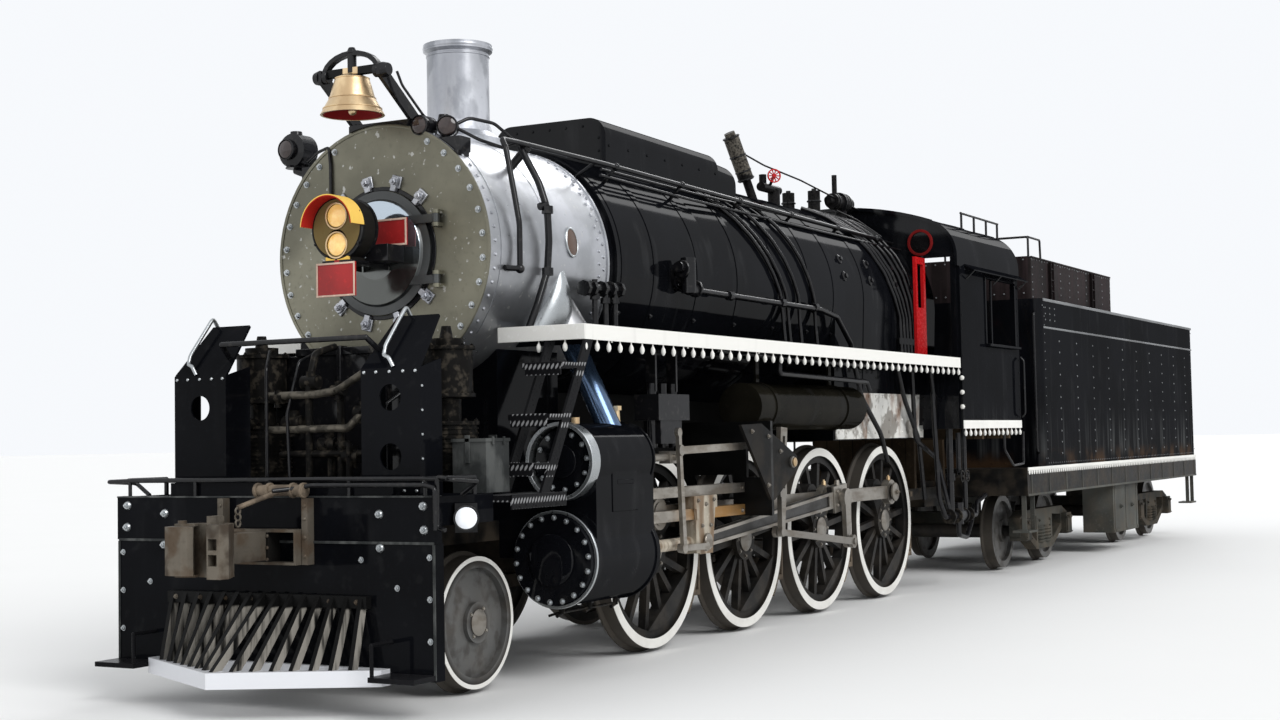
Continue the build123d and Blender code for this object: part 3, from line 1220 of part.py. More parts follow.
def main():
    os.makedirs("parts", exist_ok=True)
    right_angle = LEFT_CRANK_ANGLE - QUARTER
    left_pin = main_pin(LEFT_CRANK_ANGLE)
    right_pin = main_pin(right_angle)

    save("engine_frame", [engine_frame()])
    save("front_deck", [front_deck()])
    save("pilot_sheet", [pilot_sheet()])
    save("cow_catcher", [cow_catcher()])
    save("front_coupler", [front_coupler()])
    save("pump_shields", [pump_shield([(1835, 80), (1480, 80)]), mirrored(pump_shield([(1806, 78)]))])
    save("air_pumps", pair(air_pump()))
    save("front_steps", pair(front_steps()) + pair(pilot_step()))
    save("beam_lamps", pair(beam_lamp()))
    save("tool_box", [tool_box()])
    save("smokebox", [smokebox()])
    save("smokebox_door", [smokebox_door()])
    save("headlight", [headlight()])
    save("number_plates", number_plates())
    save("stack", [stack()])
    save("bell_stand", [bell_stand()])
    save("bell", [bell()])
    save("boiler_barrel", [boiler_barrel()])
    save("firebox", [firebox()])
    save("dome_casing", [dome_casing()])
    save("steam_fittings", steam_fittings())
    save("feed_gear", pair(feed_pipes()) + pair(injector()))
    save("handrails", pair(handrail()) + front_rails())
    save("cylinders", [cylinders()])
    save("steam_pipes", pair(steam_pipe()))
    save("guides", pair(guides()))
    save("crossheads", [crosshead(crosshead_x(left_pin)), mirrored(crosshead(crosshead_x(right_pin)))])
    save(
        "main_rods",
        [main_rod(crosshead_x(left_pin), left_pin), mirrored(main_rod(crosshead_x(right_pin), right_pin))],
    )
    save("valve_gear", valve_gear(LEFT_CRANK_ANGLE) + [mirrored(shape) for shape in valve_gear(right_angle)])
    save("motion_brackets", pair(motion_bracket()))
    save("air_reservoirs", pair(air_reservoir()))
    save("brake_gear", brake_gear())
    save("running_boards", pair(running_board()))
    save("lubricators", pair(lubricator()))
    save("cab_front", [cab_front()])
    save("cab_sides", cab_sides())
    save("cab_roof", [cab_roof()] + pair(awning()))
    save("cab_floor", [cab_floor()])
    save("cab_fittings", cab_fittings())
    save("cab_door_left", [cab_door()])
    save("cab_door_right", [mirrored(cab_door())])
    save("pony_truck", [pony_truck()])
    save("pony_wheels", [small_wheelset(PONY_AXLE_X, 0)])
    for i, x in enumerate(DRIVER_AXLES):
        weight = 22 if i == MAIN_AXLE else 15
        pin_out = SIDE_ROD_Y[1] + (FRONT_PIN_END, CRANK_PIN_END, 0, CRANK_PIN_END)[i]
        save(f"drivers_{i + 1}", [driver_wheelset(x, weight, pin_out)])
    save("side_rod_left", [side_rod(LEFT_CRANK_ANGLE)])
    save("side_rod_right", [mirrored(side_rod(right_angle))])
    save("tender_frame", [tender_frame()])
    save("tender_tank", [tender_tank()])
    save("tender_bunker", [tender_bunker()])
    save("tender_fittings", tender_fittings())
    save("rear_coupler", [rear_coupler()])
    for i, x in enumerate(TRUCK_X):
        end = ("front", "rear")[i]
        save(f"truck_{end}", [tender_truck(x)])
        for j, s in enumerate((1, -1)):
            save(f"tender_wheels_{2 * i + j + 1}", [small_wheelset(x + s * TRUCK_HALF_BASE, JOURNAL_OUT - 20)])


main()
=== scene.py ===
from itertools import product
from math import cos, pi, radians, sin, sqrt

import bmesh
import bpy
from mathutils import Matrix, Vector


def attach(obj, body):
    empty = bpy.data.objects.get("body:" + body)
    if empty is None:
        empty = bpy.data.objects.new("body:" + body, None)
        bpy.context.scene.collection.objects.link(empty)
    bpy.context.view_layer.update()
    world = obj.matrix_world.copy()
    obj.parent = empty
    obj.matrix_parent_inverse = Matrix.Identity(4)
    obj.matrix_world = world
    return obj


bl_info = {
    "name": "Steam Locomotive Dressing",
    "version": (1, 0, 0),
    "blender": (4, 5, 0),
    "location": "View3D > Sidebar > Locomotive",
    "description": "Finishes, rivets, pipes, trim and stage for the packed steam locomotive",
    "category": "Object",
}

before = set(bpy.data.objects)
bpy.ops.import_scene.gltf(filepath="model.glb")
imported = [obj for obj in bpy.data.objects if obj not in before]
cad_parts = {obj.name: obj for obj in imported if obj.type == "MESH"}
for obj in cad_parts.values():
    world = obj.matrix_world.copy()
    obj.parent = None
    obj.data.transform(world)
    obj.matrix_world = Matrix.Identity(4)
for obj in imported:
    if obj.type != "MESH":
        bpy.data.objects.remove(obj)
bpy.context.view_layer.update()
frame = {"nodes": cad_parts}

# Places are millimetres ahead of the first driving axle, left of the centre line and above the rail.
ORIGIN_X = 6435
ORIGIN_Z = 28.6
SIDES = (1, -1)
WORD = {1: "left", -1: "right"}
AHEAD = (1, 0, 0)
ASIDE = (0, 1, 0)
UP = (0, 0, 1)

AXLES = [-1574.8 * i for i in range(4)]
WHEEL_Z = 724
CRANK = 330
CRANK_ANGLE = {1: 58, -1: -32}
PONY_X = 2362
WHEEL_FACE = 821
PONY_FACE = 829
SIDE_ROD_Y = 935
MAIN_ROD_FACE = 1103
MAIN_ROD_LENGTH = 2720
TRUCKS = {"truck_front": -9300, "truck_rear": -14700}
TRUCK_HALF_BASE = 838
SMALL_WHEEL_Z = 419
BOILER_Z = 2826
SMOKEBOX_RADIUS = 867
SMOKEBOX_FRONT = 2223
LAMP_Z = 2952
LAMP_FACE = 2700
BOARD_Z = 2310
BOARD_EDGE = 100
BOARD_FRONT = 1891
HALF_WIDTH = 1371
CAB_FRONT = -5500
CAB_REAR = -7480
CAB_BOTTOM = 1600
ROOF_RADIUS = 3239
ROOF_CENTRE = 669
BEAM_X = 3386
BEAM_HALF = 1240
DECK_Z = 1250
SHIELD_X = 3157
# y, z, radius and front x
CYLINDER = (1060, 780, 308, 1800)
CHEST = (1110, 1421, 248, 1730)
BELL_X = 2520
BELL_MOUTH = 3712
TANK_FRONT = -8350
TANK_REAR = -16300
TANK_BEAD = 2750
COPING_Z = 3080
# rear x, front x, half width and top
BUNKER = (-12830, -9050, 1050, 3640)


def at_x(x):
    return (x + ORIGIN_X) / 1000


def at_z(z):
    return (z + ORIGIN_Z) / 1000


def metres(point):
    x, y, z = point
    return Vector((at_x(x), y / 1000, at_z(z)))


def distance(a, b):
    return (a ** 2 + b ** 2) ** 0.5


def length_prop(name, description, default):
    return bpy.props.FloatProperty(name=name, description=description, default=default, unit="LENGTH")


def strength_prop(name, description, default):
    return bpy.props.FloatProperty(name=name, description=description, default=default, min=0)


class LocoSizes(bpy.types.PropertyGroup):
    """Sizes of the small parts that dress the locomotive."""

    rivet: length_prop("Rivet", "Radius of a rivet head", 0.013)
    rivet_pitch: length_prop("Rivet Pitch", "Distance between rivets", 0.13)
    bolt: length_prop("Bolt", "Radius of a bolt head", 0.018)
    band_width: length_prop("Boiler Band", "Width of a boiler band", 0.075)
    pipe: length_prop("Pipe", "Radius of the small pipes", 0.016)
    drop_pitch: length_prop("Drop Pitch", "Distance between the white drops under the running board", 0.152)
    drop_length: length_prop("Drop Length", "Length of a white drop", 0.07)
    tooth_pitch: length_prop("Tooth Pitch", "Distance between the teeth of the tender's white fringe", 0.09)


def colour_prop(name, description, default):
    return bpy.props.FloatVectorProperty(
        name=name, description=description, default=default, subtype="COLOR", size=3, min=0, max=1
    )


class LocoColours(bpy.types.PropertyGroup):
    """Colours of the locomotive's paints and metals."""

    black: colour_prop("Gloss Black", "Boiler, cab and tender paint", (0.0035, 0.0038, 0.005))
    frame: colour_prop("Frame Black", "Paint of frames and running gear", (0.007, 0.007, 0.007))
    # Graphite is the smokebox front as seen in shade; on the smokebox sides, silver is painted sunlight.
    graphite: colour_prop("Graphite", "Paint of the smokebox front", (0.165, 0.158, 0.120))
    silver: colour_prop("Stack Silver", "Stack and smokebox sides", (0.50, 0.51, 0.54))
    white: colour_prop("Trim White", "Tyres, board edge and fringes", (0.80, 0.79, 0.75))
    red: colour_prop("Signal Red", "Cab doors and handwheels", (0.55, 0.012, 0.014))
    plate: colour_prop("Plate Red", "Blank plates on the smokebox door", (0.33, 0.012, 0.012))
    yellow: colour_prop("Visor Yellow", "Outside of the headlight visor", (0.85, 0.55, 0.12))
    amber: colour_prop("Amber Glass", "Headlight lenses", (0.85, 0.48, 0.10))
    brass: colour_prop("Bell Brass", "Bell and small brass fittings", (0.66, 0.50, 0.30))
    steel: colour_prop("Worn Steel", "Rods and guides", (0.27, 0.25, 0.22))
    oil: colour_prop("Oiled Bronze", "Oil stains on crossheads and guides", (0.42, 0.21, 0.045))
    bunker: colour_prop("Bunker Brown", "Fuel bunker", (0.012, 0.009, 0.009))
    dust: colour_prop("Road Dust", "Dust on the running gear", (0.16, 0.125, 0.09))
    rust: colour_prop("Rust", "Stains below the tank", (0.060, 0.034, 0.018))
    floor: colour_prop("Floor", "Studio floor", (0.84, 0.84, 0.83))


class LocoStage(bpy.types.PropertyGroup):
    """Light of the studio."""

    key: strength_prop("Key Light", "Strength of the soft sun", 1.9)
    fill: strength_prop("Fill Light", "Strength of the light from the other side", 0.5)
    back: strength_prop("Back Light", "Strength of the soft light from behind", 0.75)
    ambient: bpy.props.FloatProperty(
        name="Ambient", description="Strength of the surrounding light", default=0.62, min=0, max=1
    )


GROUPS = {"loco_sizes": LocoSizes, "loco_colours": LocoColours, "loco_stage": LocoStage}


def sizes():
    return bpy.context.scene.loco_sizes


def colours():
    return bpy.context.scene.loco_colours


class Socket:
    """An output of a shader node; arithmetic on it adds Math nodes."""

    def __init__(self, finish, out):
        self.finish = finish
        self.out = out

    def maths(self, operation, a, b=0.0):
        return self.finish.node("ShaderNodeMath", {"operation": operation}, {0: a, 1: b})

    def __add__(self, other):
        return self.maths("ADD", self, other)

    def __radd__(self, other):
        return self.maths("ADD", other, self)

    def __sub__(self, other):
        return self.maths("SUBTRACT", self, other)

    def __rsub__(self, other):
        return self.maths("SUBTRACT", other, self)

    def __mul__(self, other):
        return self.maths("MULTIPLY", self, other)

    def __rmul__(self, other):
        return self.maths("MULTIPLY", other, self)

    def __pow__(self, other):
        return self.maths("POWER", self, other)

    def __abs__(self):
        return self.maths("ABSOLUTE", self)

    def sine(self):
        return self.maths("SINE", self)

    def highest(self, other):
        return self.maths("MAXIMUM", self, other)

    def lowest(self, other):
        return self.maths("MINIMUM", self, other)


class Finish:
    """A material, or the world, whose nodes are added one expression at a time."""

    def __init__(self, owner):
        owner.use_nodes = True
        self.owner = owner
        self.tree = owner.node_tree
        self.surface = next((n for n in self.tree.nodes if n.type in ("BSDF_PRINCIPLED", "BACKGROUND")), None)
        self.spot = None

    def node(self, kind, settings=None, inputs=None, output=0):
        made = self.tree.nodes.new(kind)
        for key, value in (settings or {}).items():
            setattr(made, key, value)
        for key, value in (inputs or {}).items():
            self.feed(made.inputs[key], value)
        return Socket(self, made.outputs[output])

    def feed(self, socket, value):
        if isinstance(value, Socket):
            self.tree.links.new(value.out, socket)
        else:
            socket.default_value = value

    def shader(self, **values):
        for key, value in values.items():
            self.feed(self.surface.inputs[key.replace("_", " ")], value)

    def place(self):
        if self.spot is None:
            self.spot = self.node("ShaderNodeTexCoord", output=3)
        return self.spot

    def parts(self, vector=None):
        split = self.node("ShaderNodeSeparateXYZ", inputs={0: vector or self.place()})
        return split, Socket(self, split.out.node.outputs[1]), Socket(self, split.out.node.outputs[2])

    def scaled(self, vector, factors):
        return self.node("ShaderNodeVectorMath", {"operation": "MULTIPLY"}, {0: vector, 1: factors})

    def noise(self, scale, detail=3.0, stretch=None):
        where = self.place() if stretch is None else self.scaled(self.place(), stretch)
        return self.node("ShaderNodeTexNoise", inputs={"Vector": where, "Scale": scale, "Detail": detail})

    def rise(self, value, start, end):
        return self.node("ShaderNodeMapRange", {"interpolation_type": "SMOOTHSTEP"}, {0: value, 1: start, 2: end})

    def patches(self, scale, detail, low, high, stretch=None):
        """Soft-edged blotches, 0 to 1 where the noise climbs from low to high."""
        return self.rise(self.noise(scale, detail, stretch), low, high)

    def within(self, value, low, high, soft=0.002):
        return self.rise(value, low - soft, low + soft) * (1 - self.rise(value, high - soft, high + soft))

    def mix(self, factor, a, b):
        a, b = (c if isinstance(c, Socket) else (*c[:3], 1.0) for c in (a, b))
        return self.node("ShaderNodeMix", {"data_type": "RGBA"}, {0: factor, 6: a, 7: b}, output=2)

    def bump(self, height, strength, distance=0.002):
        return self.node("ShaderNodeBump", inputs={"Strength": strength, "Distance": distance, "Height": height})

    def away_from(self, x, z):
        """Distance from a crosswise axle line, in metres."""
        px, _, pz = self.parts()
        return distance(px - at_x(x), pz - at_z(z))


def shade(colour, by):
    return tuple(min(1.0, c * by) for c in colour)


def weather(
    f, colour, roughness, metallic=0.0, dust=0.0, streaks=0.0, grain=0.12, relief=0.12, marks=(), gloss=0.04
):
    """Paint or metal with cloudy tone, rubbed spots, dust low down and runs of old water."""
    cloud = f.noise(1.1, 4.0)
    fine = f.noise(34.0, 4.0)
    _, _, z = f.parts()
    tone = f.mix(f.rise(cloud, 0.38, 0.64), shade(colour, 1 - 2 * grain), shade(colour, 1 + 2 * grain))
    tone = f.mix(f.rise(fine, 0.55, 0.75) * 0.35, tone, shade(colour, 1.9 if metallic < 0.5 else 0.72))
    rough = roughness + (fine - 0.5) * 0.22 + (cloud - 0.5) * 0.12
    for mask, mark_colour, mark_rough in marks:
        tone = f.mix(mask, tone, mark_colour)
        rough = rough + mask * (mark_rough - roughness)
    if streaks:
        runs = f.patches(1.0, 3.0, 0.52, 0.74, (7.0, 7.0, 0.7)) * f.patches(3.0, 3.0, 0.4, 0.62)
        tone = f.mix(runs * streaks, tone, (0.05, 0.051, 0.053))
        rough = rough + runs * (0.35 * streaks)
    if dust:
        dirt = f.patches(5.0, 5.0, 0.36, 0.70) * (1 - f.rise(z, 0.3, 2.0)) * dust
        tone = f.mix(dirt, tone, colours().dust)
        rough = rough + dirt * 0.4
    f.shader(
        Base_Color=tone,
        Roughness=rough.highest(0.06).lowest(1.0),
        Metallic=metallic,
        Specular_IOR_Level=0.5 if metallic > 0.5 else gloss,
        Normal=f.bump(fine, relief),
    )


def sheen(f, level, roughness=0.04):
    """Clear varnish that stays thin where the surface is seen edge on."""
    facing = f.node("ShaderNodeLayerWeight", output=1)
    f.shader(Coat_Weight=(1 - facing) * level, Coat_Roughness=roughness)


RECIPES = {}
FINISHES = {}


def recipe(function):
    RECIPES[function.__name__] = function
    return function


def finish(name):
    """The material of that name, made on first use."""
    if name not in FINISHES:
        made = Finish(bpy.data.materials.new(name))
        RECIPES[name](made)
        FINISHES[name] = made.owner
    return FINISHES[name]


@recipe
def gloss_black(f):
    weather(f, colours().black, 0.20, streaks=0.2, relief=0.03, gloss=0.0)
    sheen(f, 0.42, 0.07)


@recipe
def tank_black(f):
    _, _, z = f.parts()
    low = 1 - f.rise(z, 1.22, 1.42)
    stain = low * f.patches(2.2, 5.0, 0.42, 0.60)
    runs = f.patches(1.0, 3.0, 0.50, 0.70, (9.0, 9.0, 0.5))
    runs = runs * (1 - f.rise(z, 1.3, 1.95)) * f.rise(z, 1.2, 1.4)
    weather(
        f, colours().black, 0.22, streaks=0.15, relief=0.04, gloss=0.0,
        marks=((runs * 0.45, (0.10, 0.105, 0.105), 0.5), (stain * 0.75, colours().rust, 0.8)),
    )
    sheen(f, 0.22, 0.06)


@recipe
def painted_highlight_grey(f):
    # Light grey that stands for the highlights on rivet heads and mouldings, painted on.
    weather(f, (0.15, 0.155, 0.16), 0.38, relief=0.1)


@recipe
def frame_black(f):
    weather(f, colours().frame, 0.42, dust=0.3, streaks=0.1, relief=0.15)


@recipe
def deck_black(f):
    worn = f.patches(9.0, 5.0, 0.60, 0.72)
    weather(
        f, colours().black, 0.26, streaks=0.1, relief=0.08, gloss=0.0,
        marks=((worn * 0.05, (0.08, 0.08, 0.08), 0.5),),
    )
    sheen(f, 0.14, 0.07)


@recipe
def graphite(f):
    """Olive grey front with pale specks, painted darker as in shade; sides painted bright silver as sunlit, and
    darker low down as painted shade.
    """
    x, _, z = f.parts()
    front = at_x(SMOKEBOX_FRONT)
    # Painted light: the sides are painted brighter than the front, standing for the sun on them.
    side = 1 - f.rise(x, front - 0.014, front - 0.006)
    haze = f.patches(2.8, 6.0, 0.44, 0.60)
    # Painted shade on the lower part of the smokebox sides.
    low = 1 - f.rise(z, 2.5, 3.2)
    specks = f.patches(21.0, 2.0, 0.66, 0.72)
    weather(
        f, colours().graphite, 0.40, metallic=0.8, relief=0.10,
        marks=(
            (side, colours().silver, 0.32), (haze * 0.55 * side, (0.27, 0.28, 0.29), 0.44),
            (low * 0.6 * side, (0.16, 0.165, 0.17), 0.40),
            (specks * 0.6, (0.52, 0.52, 0.50), 0.4),
        ),
    )


@recipe
def door_graphite(f):
    weather(f, (0.40, 0.42, 0.43), 0.30, metallic=0.9, grain=0.08, relief=0.06)


@recipe
def door_face(f):
    """Polished dish inside a dark grey rim, with a painted reflection of bright sky on its upper part that fades
    out towards its foot.
    """
    _, y, z = f.parts()
    middle = at_z(BOILER_Z)
    dish = 1 - f.rise(distance(y, z - middle), 0.344, 0.350)
    # Painted reflection of the bright sky on the upper dish, fading out downwards.
    painted_sky_reflection = f.rise(z, middle - 0.12, middle + 0.16)
    weather(
        f, (0.075, 0.078, 0.078), 0.36, metallic=0.9, grain=0.1, relief=0.04,
        marks=((dish, (0.12, 0.125, 0.12), 0.14), (dish * painted_sky_reflection, (0.42, 0.48, 0.54), 0.12)),
    )


@recipe
def stack_silver(f):
    brushed = f.patches(6.0, 5.0, 0.42, 0.66, (1.0, 1.0, 0.14))
    blotch = f.patches(5.0, 6.0, 0.50, 0.62, (1.0, 1.0, 0.6))
    weather(
        f, colours().silver, 0.36, metallic=0.9, grain=0.10, relief=0.25,
        marks=((brushed * 0.6, (0.26, 0.27, 0.30), 0.46), (blotch * 0.55, (0.20, 0.21, 0.23), 0.5)),
    )


@recipe
def brown_plate(f):
    weather(f, (0.075, 0.045, 0.032), 0.42, grain=0.15, relief=0.2, gloss=0.4)


@recipe
def trim_white(f):
    weather(f, colours().white, 0.5, grain=0.03, relief=0.05, streaks=0.05)


@recipe
def signal_red(f):
    weather(f, colours().red, 0.28, grain=0.08, relief=0.03)
    f.shader(Coat_Weight=0.4, Coat_Roughness=0.1)


@recipe
def plate_red(f):
    weather(f, colours().plate, 0.42, grain=0.15, relief=0.1, gloss=0.4)


@recipe
def plate_edge(f):
    weather(f, (0.62, 0.45, 0.36), 0.45, grain=0.1, relief=0.08)


@recipe
def bell_brass(f):
    tarnish = f.patches(7.0, 5.0, 0.44, 0.66, (1.0, 1.0, 0.35))
    weather(
        f, colours().brass, 0.33, metallic=1.0, grain=0.06, relief=0.08,
        marks=((tarnish * 0.45, (0.27, 0.15, 0.07), 0.5),),
    )


@recipe
def bell_and_yoke(f):
    """Brass bell hanging from a black yoke bar."""
    _, y, z = f.parts()
    yoke = f.rise(z, at_z(3952), at_z(3954)) * f.rise(abs(y), 0.060, 0.062)
    tarnish = f.patches(7.0, 5.0, 0.44, 0.66, (1.0, 1.0, 0.35))
    weather(
        f, colours().brass, 0.33, metallic=1.0, grain=0.06, relief=0.08,
        marks=((tarnish * 0.45, (0.27, 0.15, 0.07), 0.5), (yoke, (0.016, 0.016, 0.016), 0.4)),
    )


@recipe
def bell_red(f):
    weather(f, (0.16, 0.010, 0.010), 0.5)


@recipe
def worn_steel(f):
    rub = f.patches(12.0, 5.0, 0.46, 0.66, (0.3, 1.0, 1.0))
    weather(
        f, colours().steel, 0.38, metallic=0.85, grain=0.14, relief=0.15,
        marks=((rub * 0.5, (0.13, 0.10, 0.07), 0.6),),
    )


@recipe
def main_rod_steel(f):
    """Worn steel whose flutes are black with old oil."""
    _, y, _ = f.parts()
    flute = 1 - f.rise(abs(y), 1.0835, 1.0845)
    inner = f.rise(abs(y), 1.036, 1.0365)
    rub = f.patches(12.0, 5.0, 0.46, 0.66, (0.3, 1.0, 1.0))
    weather(
        f, colours().steel, 0.36, metallic=0.85, grain=0.14, relief=0.12,
        marks=((rub * 0.5, (0.13, 0.10, 0.07), 0.6), (flute * inner * 0.92, (0.020, 0.020, 0.021), 0.4)),
    )


@recipe
def guide_steel(f):
    """Worn slide bars, oily towards the rear, on a black yoke."""
    x, _, z = f.parts()
    yoke = 1 - f.rise(x, at_x(-996), at_x(-992))
    oily = (1 - f.rise(x, at_x(-300), at_x(350))) * (1 - f.rise(z, 1.06, 1.08))
    rub = f.patches(10.0, 5.0, 0.44, 0.62, (0.3, 1.0, 1.0))
    weather(
        f, colours().steel, 0.40, metallic=0.75, grain=0.16, relief=0.18,
        marks=(
            (rub * 0.6, (0.11, 0.085, 0.06), 0.6), (oily * 0.75, colours().oil, 0.4),
            (yoke, colours().frame, 0.42),
        ),
    )


@recipe
def coupler_steel(f):
    """Rusty tan castings round a draught pocket whose inside is painted near black as shade."""
    x, y, z = f.parts()
    rust = f.patches(7.0, 6.0, 0.42, 0.62)
    dark = f.patches(3.5, 4.0, 0.48, 0.60)
    face = at_x(3499)
    # Painted shade inside the draught pocket.
    pocket = f.within(x, 9.0, face) * (1 - f.rise(abs(y), 0.281, 0.285)) * f.within(z, 0.893, 1.070)
    weather(
        f, (0.12, 0.105, 0.085), 0.55, metallic=0.5, grain=0.2, relief=0.35,
        marks=(
            (rust * 0.6, (0.085, 0.052, 0.030), 0.8), (dark * 0.5, (0.028, 0.026, 0.024), 0.6),
            (pocket, (0.014, 0.013, 0.012), 0.6),
        ),
    )


@recipe
def worn_tan(f):
    rust = f.patches(9.0, 6.0, 0.46, 0.62)
    weather(
        f, (0.17, 0.135, 0.10), 0.62, metallic=0.3, grain=0.2, relief=0.3,
        marks=((rust * 0.6, (0.045, 0.036, 0.030), 0.7),),
    )


@recipe
def oiled_bronze(f):
    """Pale brown castings with upright oil stains."""
    runs = f.patches(9.0, 5.0, 0.42, 0.60, (1.0, 1.0, 0.22))
    weather(
        f, (0.44, 0.395, 0.32), 0.42, metallic=0.35, grain=0.14, relief=0.14,
        marks=((runs * 0.8, (0.15, 0.085, 0.040), 0.4),),
    )


@recipe
def pipe_tan(f):
    grime = f.patches(15.0, 5.0, 0.44, 0.60)
    weather(
        f, (0.15, 0.135, 0.11), 0.42, metallic=0.5, grain=0.2, relief=0.25,
        marks=((grime * 0.7, (0.02, 0.019, 0.017), 0.5),),
    )


@recipe
def fitting_black(f):
    worn = f.patches(26.0, 4.0, 0.56, 0.70)
    weather(f, (0.006, 0.006, 0.007), 0.32, relief=0.25, marks=((worn * 0.12, (0.12, 0.11, 0.10), 0.45),))
    sheen(f, 0.6, 0.08)


@recipe
def whistle_steel(f):
    """Black turret valves under a bare metal whistle."""
    x, _, z = f.parts()
    bare = f.rise(z, at_z(4030), at_z(4060)) * f.rise(x, at_x(-3660), at_x(-3640))
    worn = f.patches(45.0, 4.0, 0.30, 0.66)
    weather(
        f, (0.006, 0.006, 0.007), 0.32, relief=0.25,
        marks=((bare * worn * 0.75, (0.16, 0.145, 0.12), 0.45), (worn * 0.10, (0.12, 0.11, 0.10), 0.45)),
    )


@recipe
def pump_grime(f):
    bare = f.patches(18.0, 5.0, 0.50, 0.66)
    weather(f, (0.008, 0.0075, 0.007), 0.38, relief=0.3, marks=((bare * 0.28, (0.13, 0.11, 0.085), 0.42),))


@recipe
def pipe_blue_silver(f):
    _, _, z = f.parts()
    upper = f.rise(z, 2.28, 2.33)
    # The blue below the board is a painted reflection of the sky on the bare pipe; the silver above it is the
    # casing's paint.
    weather(
        f, (0.08, 0.13, 0.22), 0.18, metallic=0.8, grain=0.1, relief=0.05,
        marks=((upper, (0.42, 0.42, 0.43), 0.36),),
    )
    f.shader(Coat_Weight=0.3)


@recipe
def reservoir_brown(f):
    weather(f, (0.010, 0.009, 0.0065), 0.34, streaks=0.1, grain=0.2, relief=0.08, gloss=0.0)
    sheen(f, 0.35, 0.12)


@recipe
def bunker_brown(f):
    runs = f.patches(1.0, 4.0, 0.45, 0.66, (12.0, 12.0, 0.6))
    weather(
        f, colours().bunker, 0.55, grain=0.22, relief=0.15,
        marks=((runs * 0.4, (0.045, 0.030, 0.032), 0.7),),
    )


@recipe
def sheet_silver(f):
    torn = f.patches(4.0, 7.0, 0.52, 0.60)
    rusty = f.patches(2.3, 6.0, 0.56, 0.64, (1.0, 1.0, 0.5))
    weather(
        f, (0.80, 0.79, 0.75), 0.40, metallic=0.3, grain=0.10, relief=0.6,
        marks=((torn * 0.7, (0.10, 0.080, 0.060), 0.7), (rusty * 0.6, (0.20, 0.085, 0.035), 0.7)),
    )


@recipe
def cow_bars(f):
    """Black bars over a white foot rail; their left-facing flanks carry a painted sunlit highlight in rubbed
    patches.
    """
    _, _, z = f.parts()
    _, left, _ = f.parts(f.node("ShaderNodeTexCoord", output=1))
    top = at_z(255)
    painted = 1 - f.rise(z, top - 0.0003, top + 0.0006)
    # Painted highlight: the flanks facing left, towards the sun, are painted pale in streaky patches.
    rubbed = f.patches(6.0, 4.0, 0.36, 0.56, (3.0, 3.0, 0.35))
    painted_sunlit_flank = f.rise(left, 0.45, 0.7) * (1 - f.rise(z, 0.615, 0.63))
    weather(
        f, (0.009, 0.009, 0.009), 0.34, metallic=0.2, relief=0.1,
        marks=((rubbed * painted_sunlit_flank * 0.9, (0.40, 0.375, 0.33), 0.42), (painted, (0.74, 0.75, 0.78), 0.5)),
    )


@recipe
def board_paint(f):
    _, y, _ = f.parts()
    weather(
        f, colours().black, 0.24, streaks=0.1, relief=0.05, gloss=0.0,
        marks=((f.rise(abs(y), 1.3500, 1.3512), colours().white, 0.5),),
    )
    sheen(f, 0.30, 0.1)


@recipe
def step_tread(f):
    """Black steps whose treads carry raised diamonds."""
    x, y, z = f.parts()
    diamonds = f.rise(((x + y) * 95).sine() * ((x - y + z) * 95).sine(), 0.30, 0.50)
    tread = 0.0
    for height in (2054, 1725, 1422, 1235):
        top = at_z(height)
        tread = f.within(z, top - 0.088, top + 0.004) + tread
    weather(
        f, (0.008, 0.008, 0.009), 0.30, relief=0.1,
        marks=((diamonds * tread * 0.9, (0.26, 0.26, 0.265), 0.35),),
    )


@recipe
def tool_grey(f):
    worn = f.patches(6.0, 5.0, 0.44, 0.62, (1.0, 1.0, 0.5))
    weather(f, (0.030, 0.032, 0.032), 0.34, relief=0.1, marks=((worn * 0.5, (0.14, 0.145, 0.14), 0.5),))


@recipe
def truck_grey(f):
    weather(f, (0.042, 0.042, 0.037), 0.6, dust=0.35, grain=0.25, relief=0.3)


@recipe
def box_grey(f):
    weather(f, (0.075, 0.077, 0.070), 0.55, dust=0.25, streaks=0.3, grain=0.15, relief=0.1)


@recipe
def visor(f):
    """Headlight: black drum, visor yellow outside and red inside."""
    x, y, z = f.parts()
    away = distance(y, z - at_z(LAMP_Z))
    face = f.rise(x, at_x(2694), at_x(2697)) * (1 - f.rise(away, 0.186, 0.188))
    hood = f.rise(x, at_x(2679), at_x(2680))
    outside = f.rise(away, 0.2015, 0.2025) * hood
    inside = hood * (1 - f.rise(away, 0.2015, 0.2025)) * f.rise(x, 9.1365, 9.1375)
    weather(
        f, (0.012, 0.011, 0.010), 0.35, relief=0.05,
        marks=(
            (face, (0.16, 0.115, 0.045), 0.32), (outside, colours().yellow, 0.4),
            (inside, (0.40, 0.02, 0.015), 0.45),
        ),
    )


@recipe
def amber_glass(f):
    _, y, z = f.parts()
    rings = (distance(y, z) * 900).sine()
    cloud = f.noise(30.0)
    f.shader(
        Base_Color=f.mix(cloud, shade(colours().amber, 0.75), (1.0, 0.72, 0.30)),
        Roughness=0.10 + cloud * 0.08,
        Emission_Color=f.mix(cloud, (0.9, 0.45, 0.08), (1.0, 0.65, 0.2)),
        Normal=f.bump(rings, 0.25, 0.001),
    )
    f.shader(Emission_Strength=0.35, Coat_Weight=1.0)


@recipe
def clear_lens(f):
    cloud = f.noise(25.0)
    f.shader(
        Base_Color=f.mix(cloud, (0.72, 0.75, 0.80), (0.90, 0.92, 0.95)),
        Roughness=0.08 + cloud * 0.1,
        Emission_Color=(0.85, 0.88, 0.95, 1.0),
    )
    f.shader(Emission_Strength=0.15, Coat_Weight=1.0)


